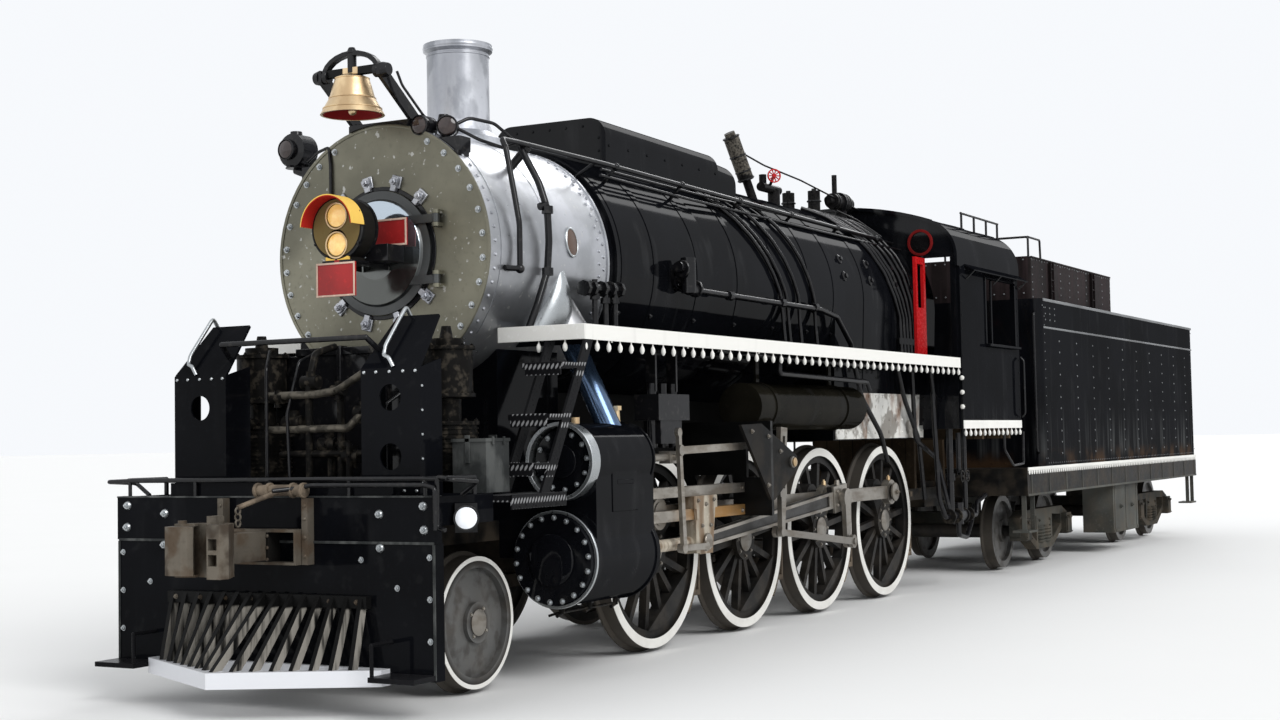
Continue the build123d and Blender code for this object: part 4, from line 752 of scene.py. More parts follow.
@recipe
def dark_glass(f):
    weather(f, (0.006, 0.0055, 0.006), 0.1, relief=0.0, gloss=0.0)
    sheen(f, 0.5)


@recipe
def lamp_glass_pink(f):
    cloud = f.noise(25.0)
    f.shader(
        Base_Color=f.mix(cloud, (0.010, 0.007, 0.007), (0.06, 0.040, 0.036)),
        Roughness=0.08 + cloud * 0.1,
    )
    f.shader(Coat_Weight=0.8, Specular_IOR_Level=0.1)


@recipe
def floor_wood(f):
    boards = f.rise((f.parts()[1] * 42).sine(), 0.97, 0.99)
    weather(
        f, (0.05, 0.035, 0.022), 0.7, dust=0.4, grain=0.25, relief=0.3,
        marks=((boards, (0.008, 0.006, 0.004), 0.9),),
    )


@recipe
def cab_gear(f):
    crease = f.patches(16.0, 5.0, 0.52, 0.70)
    weather(f, (0.028, 0.022, 0.018), 0.45, relief=0.3, marks=((crease * 0.4, (0.08, 0.06, 0.045), 0.5),))


def wheel_recipe(axle_x, centre_z, tread, rim, face, disc):
    """A wheel: white tyre face, bright tread and dark centre, or a worn steel disc with a painted sheen ring."""

    def wheel(f):
        away = f.away_from(axle_x, centre_z)
        _, y, _ = f.parts()
        outer = f.rise(abs(y), face - 0.005, face - 0.003)
        tyre = f.rise(away, rim - 0.001, rim + 0.001) * outer
        running = f.rise(away, tread - 0.006, tread - 0.004) * (1 - tyre)
        rub = f.patches(9.0, 5.0, 0.45, 0.65)
        if disc:
            # Painted sheen: a lighter ring across the disc between hub and rim.
            painted_sheen = f.within(away, 0.10, rim - 0.02, 0.03)
            marks = [(painted_sheen * 0.55, (0.20, 0.20, 0.195), 0.32), (rub * 0.6, (0.045, 0.040, 0.036), 0.5)]
        else:
            felloe = f.within(away, 0.585, rim)
            marks = [(rub * 0.3, (0.05, 0.047, 0.044), 0.45), (felloe * 0.8, (0.012, 0.012, 0.012), 0.4)]
        marks += [(running, (0.060, 0.054, 0.047), 0.42), (tyre, colours().white, 0.5)]
        weather(f, (0.017, 0.0165, 0.016), 0.40, metallic=0.2, dust=0.12, grain=0.2, marks=marks)

    return wheel


for number, axle in enumerate(AXLES, 1):
    RECIPES[f"driver_wheel_{number}"] = wheel_recipe(axle, WHEEL_Z, 0.724, 0.651, 0.8215, False)
RECIPES["pony_wheel"] = wheel_recipe(PONY_X, SMALL_WHEEL_Z, 0.419, 0.388, 0.8215, True)
for number, (truck, end) in enumerate(((t, e) for t in TRUCKS.values() for e in SIDES), 1):
    RECIPES[f"tender_wheel_{number}"] = wheel_recipe(
        truck + end * TRUCK_HALF_BASE, SMALL_WHEEL_Z, 0.419, 0.600, 0.8215, True
    )

NODE_FINISH = {
    node: look
    for look, nodes in {
        "frame_black": "engine_frame motion_brackets pony_truck tender_frame",
        "deck_black": "front_deck pilot_sheet pump_shields",
        "cow_bars": "cow_catcher",
        "coupler_steel": "front_coupler rear_coupler",
        "pump_grime": "air_pumps",
        "step_tread": "front_steps",
        "gloss_black": "beam_lamps boiler_barrel firebox dome_casing cylinders cab_front cab_roof",
        "tool_grey": "tool_box",
        "graphite": "smokebox",
        "door_face": "smokebox_door",
        "visor": "headlight",
        "plate_red": "number_plates",
        "stack_silver": "stack",
        "fitting_black": "bell_stand feed_gear handrails lubricators",
        "bell_and_yoke": "bell",
        "whistle_steel": "steam_fittings",
        "pipe_blue_silver": "steam_pipes",
        "guide_steel": "guides",
        "oiled_bronze": "crossheads",
        "main_rod_steel": "main_rods",
        "worn_steel": "valve_gear side_rod_left side_rod_right",
        "reservoir_brown": "air_reservoirs",
        "worn_tan": "brake_gear",
        "board_paint": "running_boards",
        "tank_black": "cab_sides tender_tank",
        "floor_wood": "cab_floor",
        "cab_gear": "cab_fittings",
        "signal_red": "cab_door_left cab_door_right",
        "pony_wheel": "pony_wheels",
        "bunker_brown": "tender_bunker",
        "box_grey": "tender_fittings",
        "truck_grey": "truck_front truck_rear",
    }.items()
    for node in nodes.split()
}
NODE_FINISH.update({f"drivers_{n}": f"driver_wheel_{n}" for n in range(1, 5)})
NODE_FINISH.update({f"tender_wheels_{n}": f"tender_wheel_{n}" for n in range(1, 5)})


def each_side():
    """Left, then right; meanwhile shapes and pipes measure y towards that side."""
    for side in SIDES:
        Shape.side = side
        yield side
    Shape.side = 1


def sideways(point):
    x, y, z = point
    return Vector((x, Shape.side * y, z))


class Shape:
    """The faces of one piece, gathered in millimetres."""

    side = 1

    def __init__(self):
        self.points = []
        self.faces = []

    def add(self, points, faces):
        first = len(self.points)
        self.points += [Vector(p) for p in points]
        self.faces += [[first + i for i in face] for face in faces]

    def turned(self, profile, centre, axis, sides=16):
        """Turns (radius, height) pairs about the axis through centre."""
        along = sideways(axis).normalized()
        u = along.orthogonal().normalized()
        v = along.cross(u)
        closed = profile[0] == profile[-1]
        points, rings = [], []
        for radius, height in profile[:-1] if closed else profile:
            middle = sideways(centre) + along * height
            if radius < 1e-6:
                rings.append([len(points)] * sides)
                points.append(middle)
                continue
            rings.append([len(points) + k for k in range(sides)])
            for k in range(sides):
                a = 2 * pi * k / sides
                points.append(middle + (u * cos(a) + v * sin(a)) * radius)
        if closed:
            rings.append(rings[0])
        faces = []
        for low, high in zip(rings, rings[1:]):
            for k in range(sides):
                n = (k + 1) % sides
                face = list(dict.fromkeys((low[k], low[n], high[n], high[k])))
                if len(face) > 2:
                    faces.append(face)
        self.add(points, faces)

    def rod(self, start, end, r, end_r=None, sides=12):
        start, end = Vector(start), Vector(end)
        length = (end - start).length
        self.turned([(0, 0), (r, 0), (end_r or r, length), (0, length)], start, end - start, sides)

    def disc(self, centre, axis, r, thick, sides=24, chamfer=0.25):
        c = thick * chamfer
        self.turned([(0, 0), (r, 0), (r, thick - c), (r - c, thick), (0, thick)], centre, axis, sides)

    def ring(self, centre, axis, inner, outer, thick, sides=40):
        profile = [(inner, 0), (outer, 0), (outer, thick), (inner, thick), (inner, 0)]
        self.turned(profile, centre, axis, sides)

    def ball(self, centre, r, sides=12):
        steps = [pi * k / 8 for k in range(9)]
        self.turned([(r * sin(a), -r * cos(a)) for a in steps], centre, UP, sides)

    def rivet(self, centre, axis, r=None):
        """A rivet head, or one at each crossing where a coordinate is a list of places."""
        r = r or sizes().rivet * 1000
        head = [(0, -2), (r, -2), (r, 0.2 * r), (0.7 * r, 0.65 * r), (0, 0.85 * r)]
        for place in product(*([c] if isinstance(c, (int, float)) else c for c in centre)):
            self.turned(head, place, axis, 8)

    def bolt(self, centre, axis, r=None, stud=True):
        r = r or sizes().bolt * 1000
        self.turned([(0, -2), (1.35 * r, -2), (1.35 * r, 0.2 * r), (0, 0.2 * r)], centre, axis, 12)
        head = [(0, 0.2 * r), (r, 0.2 * r), (r, 0.9 * r), (0.8 * r, 1.05 * r), (0, 1.05 * r)]
        self.turned(head, centre, axis, 6)
        if stud:
            self.turned([(0, r), (0.5 * r, r), (0.5 * r, 1.5 * r), (0, 1.6 * r)], centre, axis, 8)

    def block(self, x0, x1, y0, y1, z0, z1):
        """Box between two corners."""
        y0, y1 = sorted((Shape.side * y0, Shape.side * y1))
        points = [(x, y, z) for x in (x0, x1) for y in (y0, y1) for z in (z0, z1)]
        self.add(points, [(0, 1, 3, 2), (4, 6, 7, 5), (0, 4, 5, 1), (2, 3, 7, 6), (0, 2, 6, 4), (1, 5, 7, 3)])

    def prism(self, outline, push):
        """A flat outline pushed along a vector."""
        n = len(outline)
        push = sideways(push)
        points = [sideways(p) for p in outline]
        points += [p + push for p in points]
        sides = [(k, (k + 1) % n, n + (k + 1) % n, n + k) for k in range(n)]
        self.add(points, [list(range(n)), list(range(2 * n - 1, n - 1, -1))] + sides)

    def loft(self, loops):
        """Closed loops of points joined in order, with both ends capped."""
        n = len(loops[0])
        faces = [list(range(n)), list(range((len(loops) - 1) * n, len(loops) * n))]
        for k in range(len(loops) - 1):
            for a in range(n):
                b = (a + 1) % n
                faces.append((k * n + a, k * n + b, (k + 1) * n + b, (k + 1) * n + a))
        self.add([sideways(point) for loop in loops for point in loop], faces)

    def ribbon(self, line, push, thick):
        """A strip along a line of points, pushed sideways, with its thickness away from centre."""
        push = sideways(push)
        points, faces = [], []
        for point, out in line:
            point, lift = sideways(point), sideways(out).normalized() * thick
            points += [point, point + push, point + push + lift, point + lift]
        last = len(line) - 1
        for k in range(last):
            for a in range(4):
                b = (a + 1) % 4
                faces.append((4 * k + a, 4 * k + b, 4 * k + 4 + b, 4 * k + 4 + a))
        faces += [(0, 1, 2, 3), (4 * last + 3, 4 * last + 2, 4 * last + 1, 4 * last)]
        self.add(points, faces)

    def piece(self, name, look="fitting_black", body="engine", bevel=0.0, angle=38):
        """Builds the mesh and hangs it on a body."""
        mesh = bpy.data.meshes.new(name)
        mesh.from_pydata([metres(p) for p in self.points], [], self.faces)
        tidy = bmesh.new()
        tidy.from_mesh(mesh)
        bmesh.ops.recalc_face_normals(tidy, faces=tidy.faces)
        tidy.to_mesh(mesh)
        tidy.free()
        mesh.shade_smooth()
        mesh.set_sharp_from_angle(angle=radians(angle))
        made = bpy.data.objects.new(name, mesh)
        bpy.context.scene.collection.objects.link(made)
        made.data.materials.append(finish(look))
        if bevel:
            rounded = made.modifiers.new("edges", "BEVEL")
            rounded.width = bevel / 1000
            rounded.segments = 2
            rounded.limit_method = "ANGLE"
            rounded.angle_limit = radians(40)
        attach(made, body)


def piping(name, runs, r, look="fitting_black", body="engine", bend=60):
    """Round pipes along runs of points, with their corners bent."""
    curve = bpy.data.curves.new(name, "CURVE")
    curve.dimensions = "3D"
    curve.bevel_depth = r / 1000
    curve.bevel_resolution = 2
    curve.resolution_u = 5
    curve.use_fill_caps = True
    for run in runs:
        run = [sideways(point) for point in run]
        route = [run[0]]
        for before, corner, after in zip(run, run[1:], run[2:]):
            for way in (before - corner, after - corner):
                route.append(corner + way.normalized() * min(bend, 0.45 * way.length))
            route.insert(-1, corner)
        route.append(run[-1])
        spline = curve.splines.new("NURBS")
        spline.points.add(len(route) - 1)
        for point, place in zip(spline.points, route):
            point.co = (*metres(place), 1.0)
        spline.order_u = 3
        spline.use_endpoint_u = True
    made = bpy.data.objects.new(name, curve)
    bpy.context.scene.collection.objects.link(made)
    curve.materials.append(finish(look))
    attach(made, body)


def on_boiler(x, angle, lift=0.0):
    """A point on the boiler's skin; 0 degrees is its left side and 90 the top."""
    a = radians(angle)
    r = boiler_radius(x) + lift
    return Vector((x, r * cos(a), BOILER_Z + r * sin(a)))


def boiler_radius(x):
    if x > 620:
        return SMOKEBOX_RADIUS
    if x > -900:
        return 900
    return 900 + 55 * min(1.0, (-900 - x) / 1600)


def hoop(x, start, end, step):
    """Points round the boiler's skin between two angles, each with its way out."""
    points = [on_boiler(x, angle) for angle in spaced(start, end, step)]
    return [(point, point - Vector((x, 0, BOILER_Z))) for point in points]


def firebox_side(height):
    """Half the firebox's width, which narrows towards its foot."""
    return 955 - 55 * (BOILER_Z - height) / (BOILER_Z - 1510)


def skin(x, height, lift=0.0):
    """A point on the left side of boiler or firebox at that height above the rail."""
    if height < BOILER_Z and x <= -3300:
        return Vector((x, firebox_side(height) + lift, height))
    rise = height - BOILER_Z
    out = Vector((0, sqrt(max(0.0, boiler_radius(x) ** 2 - rise ** 2)), rise))
    return Vector((x, 0, BOILER_Z)) + out + out.normalized() * lift


def roof_arch(x, half):
    """Points across the cab roof, up to half degrees to each side, with the way out."""
    outs = [Vector((0, sin(a), cos(a))) for a in map(radians, spaced(-half, half, 2))]
    return [(Vector((x, 0, ROOF_CENTRE)) + out * ROOF_RADIUS, out) for out in outs]


def spaced(start, end, pitch):
    """Evenly spaced numbers from start to end, about a pitch apart."""
    count = max(1, round(abs(end - start) / pitch))
    return [start + (end - start) * k / count for k in range(count + 1)]


def both(*runs):
    """Runs of the left side, then their mirror images."""
    return [[(x, side * y, z) for x, y, z in run] for side in SIDES for run in runs]


def circle(count, r, start=0.0):
    return [
        (r * cos(2 * pi * k / count + start), r * sin(2 * pi * k / count + start))
        for k in range(count)
    ]


class LOCO_OT_finishes(bpy.types.Operator):
    """Give every part of the frame its paint or metal"""

    bl_idname = "loco.finishes"
    bl_label = "Paint And Metal"

    def execute(self, context):
        for node, look in NODE_FINISH.items():
            obj = frame["nodes"][node]
            if not obj.material_slots:
                obj.data.materials.append(None)
            for slot in obj.material_slots:
                slot.link = "OBJECT"
                slot.material = finish(look)
        return {"FINISHED"}


class LOCO_OT_smokebox_front(bpy.types.Operator):
    """Bolts of the smokebox front, and the dogs round its door"""

    bl_idname = "loco.smokebox_front"
    bl_label = "Smokebox Front"

    def execute(self, context):
        bolts = Shape()
        for y, dz in circle(32, 812, 0.1):
            if dz < 760 or abs(y) > 260:
                bolts.bolt((SMOKEBOX_FRONT, y, BOILER_Z + dz), AHEAD, 17)
        bolts.piece("smokebox_front_bolts", "door_graphite")
        edge = Shape()
        edge.turned(
            [(846, 0), (846, 5), (858, 7), (868, 4), (868, 0), (846, 0)], (SMOKEBOX_FRONT, 0, BOILER_Z), AHEAD, 72
        )
        edge.piece("smokebox_front_edge", "graphite")
        seat = Shape()
        seat.ring((SMOKEBOX_FRONT, 0, BOILER_Z), AHEAD, 418, 446, 9, 64)
        seat.piece("door_seat", bevel=3)
        dogs = Shape()
        nuts = Shape()
        for angle in (102, 74, 47, -39, -72, -104, -134, -164, 160, 130):
            a = radians(angle)
            out = Vector((0, cos(a), sin(a)))
            across = Vector((0, -out.z, out.y))
            middle = Vector((SMOKEBOX_FRONT, 0, BOILER_Z)) + out * 485
            for wide, near, far, high in ((40, -40, 44, 16), (22, -64, 34, 36)):
                corners = ((near, -wide), (far, -wide), (far, wide), (near, wide))
                dogs.prism([middle + out * o + across * w for o, w in corners], (high, 0, 0))
            nuts.bolt(middle + Vector((34, 0, 0)), AHEAD, 24)
        dogs.piece("door_dogs", "stack_silver", bevel=5)
        nuts.piece("door_dog_nuts", "stack_silver")
        return {"FINISHED"}


class LOCO_OT_smokebox_sides(bpy.types.Operator):
    """Rivet rings, seams, pipes, oval plates, pipe casings and side valve of the smokebox"""

    bl_idname = "loco.smokebox_sides"
    bl_label = "Smokebox Sides"

    def execute(self, context):
        rivets = Shape()
        for x, step in ((2160, 6), (760, 6), (820, 6)):
            for angle in spaced(-52 + (3 if x == 820 else 0), 232, step):
                point = on_boiler(x, angle)
                rivets.rivet(point, point - Vector((x, 0, BOILER_Z)), 13)
        rivets.piece("smokebox_rivets", "stack_silver")
        joint = Shape()
        for x0, x1, lift in ((690, 715, 9), (2080, 2095, 4), (1480, 1492, 3)):
            joint.ribbon(hoop(x0, -40, 220, 5), (x1 - x0, 0, 0), lift)
        joint.piece("smokebox_seams", "graphite")
        for side in each_side():
            plate = Shape()
            middle = sideways(skin(1199, 2929))
            out = Vector((0, middle.y, middle.z - BOILER_Z)).normalized()
            rim = Shape()
            up = Vector((0, -out.z * side, abs(out.y)))
            along = Vector(AHEAD)
            for shape, profile in (
                (plate, [(0, -6), (96, -6), (96, 6), (88, 9), (0, 9)]),
                (rim, [(94, -6), (108, -6), (108, 8), (100, 13), (94, 10), (94, -6)]),
            ):
                shape.turned(profile, (0, 0, 0), UP, 40)
                shape.points = [middle + along * p.x * 0.72 + up * p.y + out * p.z for p in shape.points]
            plate.piece(f"oval_plate_{WORD[side]}", "brown_plate", bevel=1)
            rim.piece(f"oval_plate_rim_{WORD[side]}", "door_graphite")
            rail = [
                (470, 738, 3577), (1700, 738, 3577), (1890, 752, 3570), (1927, 806, 3500),
                (1927, 857, 3242), (1927, 904, 2987), (1932, 906, 2690), (2070, 876, 2688),
            ]
            piping(f"smokebox_handrail_{WORD[side]}", [rail], 19)
            thick = [
                (1588, 700, 3560), (1588, 770, 3440), (1588, 850, 3300), (1588, 912, 3115),
                (1590, 922, 2900), (1593, 908, 2700), (1680, 880, 2472), (1745, 850, BOARD_Z),
            ]
            piping(f"smokebox_main_pipe_{WORD[side]}", [thick], 25)
            loops = [[(2080, 500, 3660), (1990, 560, 3715), (1840, 660, 3690), (1700, 738, 3577)]]
            loops.append([(2090, 520, 3640), (1950, 610, 3570), (1780, 690, 3530), (1700, 738, 3560)])
            if side > 0:
                piping("smokebox_top_conduits", loops, 12)
            unions = Shape()
            for z, y in ((3112, 913), (2694, 908)):
                unions.rod((1590, y, z - 26), (1590, y, z + 26), 40, sides=8)
            unions.rod((1588, 905, 3150), (1640, 880, 3130), 26, sides=8)
            unions.rod((1560, 745, 3560), (1570, 600, 3420), 30, sides=10)
            unions.ball((1932, 906, 2690), 32)
            unions.rod((620, 738, 3577), (620, 560, 3480), 14)
            unions.piece(f"smokebox_unions_{WORD[side]}")
            casing = Shape()
            loops = []
            sections = ((2735, 14, 8), (2712, 40, 24), (2600, 96, 74), (2450, 172, 130), (BOARD_Z + 2, 235, 176))
            for z, half, deep in sections:
                y = skin(1315, z).y - 16
                loops.append([
                    (1315 + half * cos(a), y + deep * sin(a), z)
                    for a in (pi * k / 12 for k in range(13))
                ])
            casing.loft(loops)
            casing.piece(f"steam_pipe_casing_{WORD[side]}", "door_graphite", angle=60)
        valve = Shape()
        for x, z in ((1195, 2607), (1100, 2609), (960, 2615), (840, 2621), (720, 2625)):
            valve.rod((x - 16, 960, z), (x + 16, 960, z), 56, sides=8)
        valve.rod((1200, 960, 2607), (705, 960, 2627), 32, sides=16)
        for x, z in ((1053, 2606), (909, 2585), (774, 2591)):
            valve.rod((x, 960, z + 70), (x, 960, BOARD_Z), 21)
            valve.rod((x, 960, z - 70), (x, 960, z - 30), 36, sides=8)
        valve.rod((1053, 960, 2606), (1053, 800, 2606), 28)
        valve.piece("smokebox_side_valve")
        return {"FINISHED"}


class LOCO_OT_stack_trim(bpy.types.Operator):
    """Rolled rim and band of the stack"""

    bl_idname = "loco.stack_trim"
    bl_label = "Stack Trim"

    def execute(self, context):
        rim = Shape()
        profile = [(238, 0), (248, 4), (251, 14), (248, 24), (238, 28), (238, 0)]
        rim.turned(profile, (1297, 0, 4352), UP, 56)
        rim.turned([(222, 0), (227, 3), (227, 12), (222, 15), (222, 0)], (1297, 0, 4300), UP, 56)
        rim.piece("stack_rim", "stack_silver")
        return {"FINISHED"}


class LOCO_OT_bell_fittings(bpy.types.Operator):
    """Red lining, arched yoke and ringing gear of the bell"""

    bl_idname = "loco.bell_fittings"
    bl_label = "Bell Fittings"

    def execute(self, context):
        lining = Shape()
        inner = [(193, 1), (170, 38), (132, 108), (110, 185), (93, 230), (51, 246), (0, 248)]
        outer = [(r - 3 if r > 3 else 0, h - (3 if r < 60 else 0)) for r, h in reversed(inner)]
        lining.turned([(r, h) for r, h in inner + outer] + [inner[0]], (BELL_X, 0, BELL_MOUTH), UP, 40)
        lining.piece("bell_lining", "bell_red", "bell")
        beads = Shape()
        for r, h in ((191, 40), (152, 108), (112, 240)):
            profile = [(r - 4, -5), (r + 4, -3), (r + 4, 3), (r - 4, 5), (r - 4, -5)]
            beads.turned(profile, (BELL_X, 0, BELL_MOUTH + h), UP, 40)
        beads.piece("bell_beads", "bell_brass", "bell")
        yoke = Shape()
        arch = []
        for angle in spaced(0, 180, 15):
            a = radians(angle)
            y, z = 205 * cos(a), 3985 + 118 * sin(a)
            arch.append(((BELL_X - 26, y, z), (0, y, (z - 3985) * 1.5 + 1)))
        yoke.ribbon(arch, (52, 0, 0), 34)
        yoke.rod((BELL_X, 0, 3990), (BELL_X, 0, 4130), 30, sides=12)
        yoke.rod((BELL_X, 0, 4120), (BELL_X, 0, 4160), 40, 22, sides=8)
        for _ in each_side():
            yoke.rod((BELL_X, 190, 3985), (BELL_X, 226, 3985), 44, sides=16)
        yoke.piece("bell_yoke", body="bell", bevel=4)
        bearing = Shape()
        for _ in each_side():
            bearing.rod((BELL_X, 255, 3985), (BELL_X, 300, 3985), 52, 40, sides=16)
            bearing.bolt((BELL_X, 254, 3985), (0, -1, 0), 10, stud=False)
            for x, z in ((2110, 3700), (2170, 3700)):
                bearing.bolt((x, 210, z + 5), UP, 14)
        bearing.block(2030, 2214, -270, 330, 3630, 3706)
        bearing.block(2120, 2214, -200, 260, 3700, 3710)
        bearing.piece("bell_bearings", bevel=4)
        run = [(2430, 296, 3985), (2380, 300, 3900), (2180, 330, 3720), (2060, 380, 3650), (1980, 430, 3600)]
        piping("bell_air_pipe", [run], 9)
        return {"FINISHED"}


class LOCO_OT_headlight(bpy.types.Operator):
    """Twin amber lenses, rim and bracket of the headlight"""

    bl_idname = "loco.headlight"
    bl_label = "Headlight"

    def execute(self, context):
        lenses, rims = Shape(), Shape()
        for dz in (-110, 78):
            profile = [(0, -10), (77, -10), (77, 2), (62, 12), (38, 22), (0, 27)]
            lenses.turned(profile, (LAMP_FACE - 8, 0, LAMP_Z + dz), AHEAD, 32)
            rims.ring((LAMP_FACE - 2, 0, LAMP_Z + dz), AHEAD, 78, 89, 9, 32)
        lenses.piece("headlight_lenses", "amber_glass", "smokebox_door")
        rims.piece("headlight_rims", "bell_brass", "smokebox_door", bevel=2)
        drum = Shape()
        drum.turned([(194, 0), (208, 2), (208, 26), (194, 30), (194, 0)], (LAMP_FACE - 34, 0, LAMP_Z), AHEAD, 48)
        drum.turned([(194, 0), (206, 2), (206, 20), (194, 22), (194, 0)], (2524, 0, LAMP_Z), AHEAD, 48)
        for y, z in circle(6, 201, 0.5):
            drum.bolt((LAMP_FACE - 4, y, LAMP_Z + z), AHEAD, 8, stud=False)
        drum.piece("headlight_drum_bands", body="smokebox_door")
        bracket = Shape()
        bracket.block(2360, 2700, -120, 120, LAMP_Z - 222, LAMP_Z - 208)
        for y in (-112, 104):
            bracket.prism([(2300, y, 2700), (2300, y, 2742), (2690, y, 2742), (2690, y, 2726)], (0, 8, 0))
        bracket.block(2340, 2520, 95, 270, 2740, 2850)
        bracket.piece("headlight_bracket", body="smokebox_door", bevel=3)
        return {"FINISHED"}


class LOCO_OT_plates(bpy.types.Operator):
    """Pale borders of the two blank plates"""

    bl_idname = "loco.plates"
    bl_label = "Blank Plates"

    def execute(self, context):
        edge = Shape()
        for x, y0, y1, z0, z1, wide in ((2714, -155, 155, 2508, 2728, 12), (2335, -45, 289, 2856, 3037, 13)):
            for a, b, c, d in (
                (y0, y1, z0, z0 + wide), (y0, y1, z1 - wide, z1),
                (y0, y0 + wide, z0 + wide, z1 - wide), (y1 - wide, y1, z0 + wide, z1 - wide),
            ):
                edge.block(x, x + 4, a, b, c, d)
        edge.piece("plate_borders", "plate_edge", "smokebox_door", bevel=1)
        return {"FINISHED"}


class LOCO_OT_class_lamps(bpy.types.Operator):
    """Marker lamps at the top corners of the smokebox"""

    bl_idname = "loco.class_lamps"
    bl_label = "Marker Lamps"

    def execute(self, context):
        cases, glass, brackets = Shape(), Shape(), Shape()
        # (x, y, z) of the lens, its radius, the way it faces, radius and length of the lantern behind it
        lamps = (
            (2170, -850, 3612, 66, -4, 118, 230),
            (2222, 322, 3658, 60, 0, 68, 150),
            (2150, 492, 3646, 64, 28, 72, 120),
        )
        for x, y, z, r, turn, wide, long in lamps:
            a = radians(turn)
            way = Vector((cos(a), sin(a), 0))
            face = Vector((x, y, z))
            rim = [(0, -36), (r, -36), (r + 8, -20), (r + 8, 8), (r, 14), (r, 0), (0, 0)]
            cases.turned(rim, face, way, 28)
            body = [(0, -long), (0.6 * wide, -long), (wide, -long + 36), (wide, -50), (0.9 * r, -24), (0, -24)]
            cases.turned(body, face, way, 28)
            glass.turned([(0, -2), (r, -2), (0.92 * r, 10), (0.6 * r, 20), (0, 24)], face, way, 28)
        cases.rod((2060, -850, 3612), (2060, -850, 3750), 62, 40, sides=16)
        cases.rod((2070, 410, 3640), (2070, 410, 3740), 50, 34, sides=16)
        brackets.block(2070, 2196, 285, 625, 3466, 3566)
        brackets.block(2080, 2216, 412, 620, 3372, 3470)
        brackets.block(2030, 2140, -740, -570, 3362, 3482)
        brackets.rod((2060, -850, 3490), (2060, -850, 3520), 80, 60, sides=16)
        brackets.rod((2070, -850, 3480), (2070, -640, 3400), 30)
        cases.piece("class_lamp_cases")
        glass.piece("class_lamp_glass", "lamp_glass_pink")
        brackets.piece("class_lamp_brackets", bevel=4)
        conduit = [
            (2120, -700, 3520), (2190, -560, 3560), (2228, -430, 3580),
            (2236, -412, 3459), (2238, -410, 3232), (2238, -405, 3000),
        ]
        piping("class_lamp_conduits", [conduit], 11)
        return {"FINISHED"}


class LOCO_OT_boiler_bands(bpy.types.Operator):
    """Bands, washout plugs and casing rivets of the boiler"""

    bl_idname = "loco.boiler_bands"
    bl_label = "Boiler Bands"

    def execute(self, context):
        bands, clips = Shape(), Shape()
        width = sizes().band_width * 1000
        barrel = (560, 70, -640, -1330, -2020, -2710, -3250)
        for x in barrel:
            bands.ribbon(hoop(x, -62, 242, 4), (-width, 0, 0), 5)
        for x in (-3980, -4700, -5400):
            foot = [((x, firebox_side(z), z), ASIDE) for z in (1700, 2200, 2600)]
            other = [((x, -y, z), (0, -1, 0)) for (_, y, z), _ in reversed(foot)]
            bands.ribbon(foot + hoop(x, 0, 180, 4) + other, (-width, 0, 0), 5)
        bands.piece("boiler_bands", "gloss_black")
        for x in barrel:
            for _ in each_side():
                clips.bolt(skin(x - width / 2, 2480, 10), ASIDE, 12)
        for _ in each_side():
            for x in (-3560, -4200, -4840, -5240):
                for z in (3180, 3020):
                    point = skin(x, z)
                    clips.turned(
                        [(0, -4), (46, -4), (46, 8), (34, 16), (22, 18), (22, 34), (0, 34)],
                        point, (0, point.y, point.z - BOILER_Z), 16,
                    )
        clips.piece("washout_plugs")
        casing = Shape()
        casing.rivet((62, spaced(-300, 300, 150), 3960), AHEAD, 11)
        for _ in each_side():
            casing.rivet((spaced(10, -1810, 300), 500, 3800), ASIDE, 11)
            casing.rivet((62, 440, (3760, 3860)), AHEAD, 11)
        casing.piece("casing_rivets", "gloss_black")
        return {"FINISHED"}


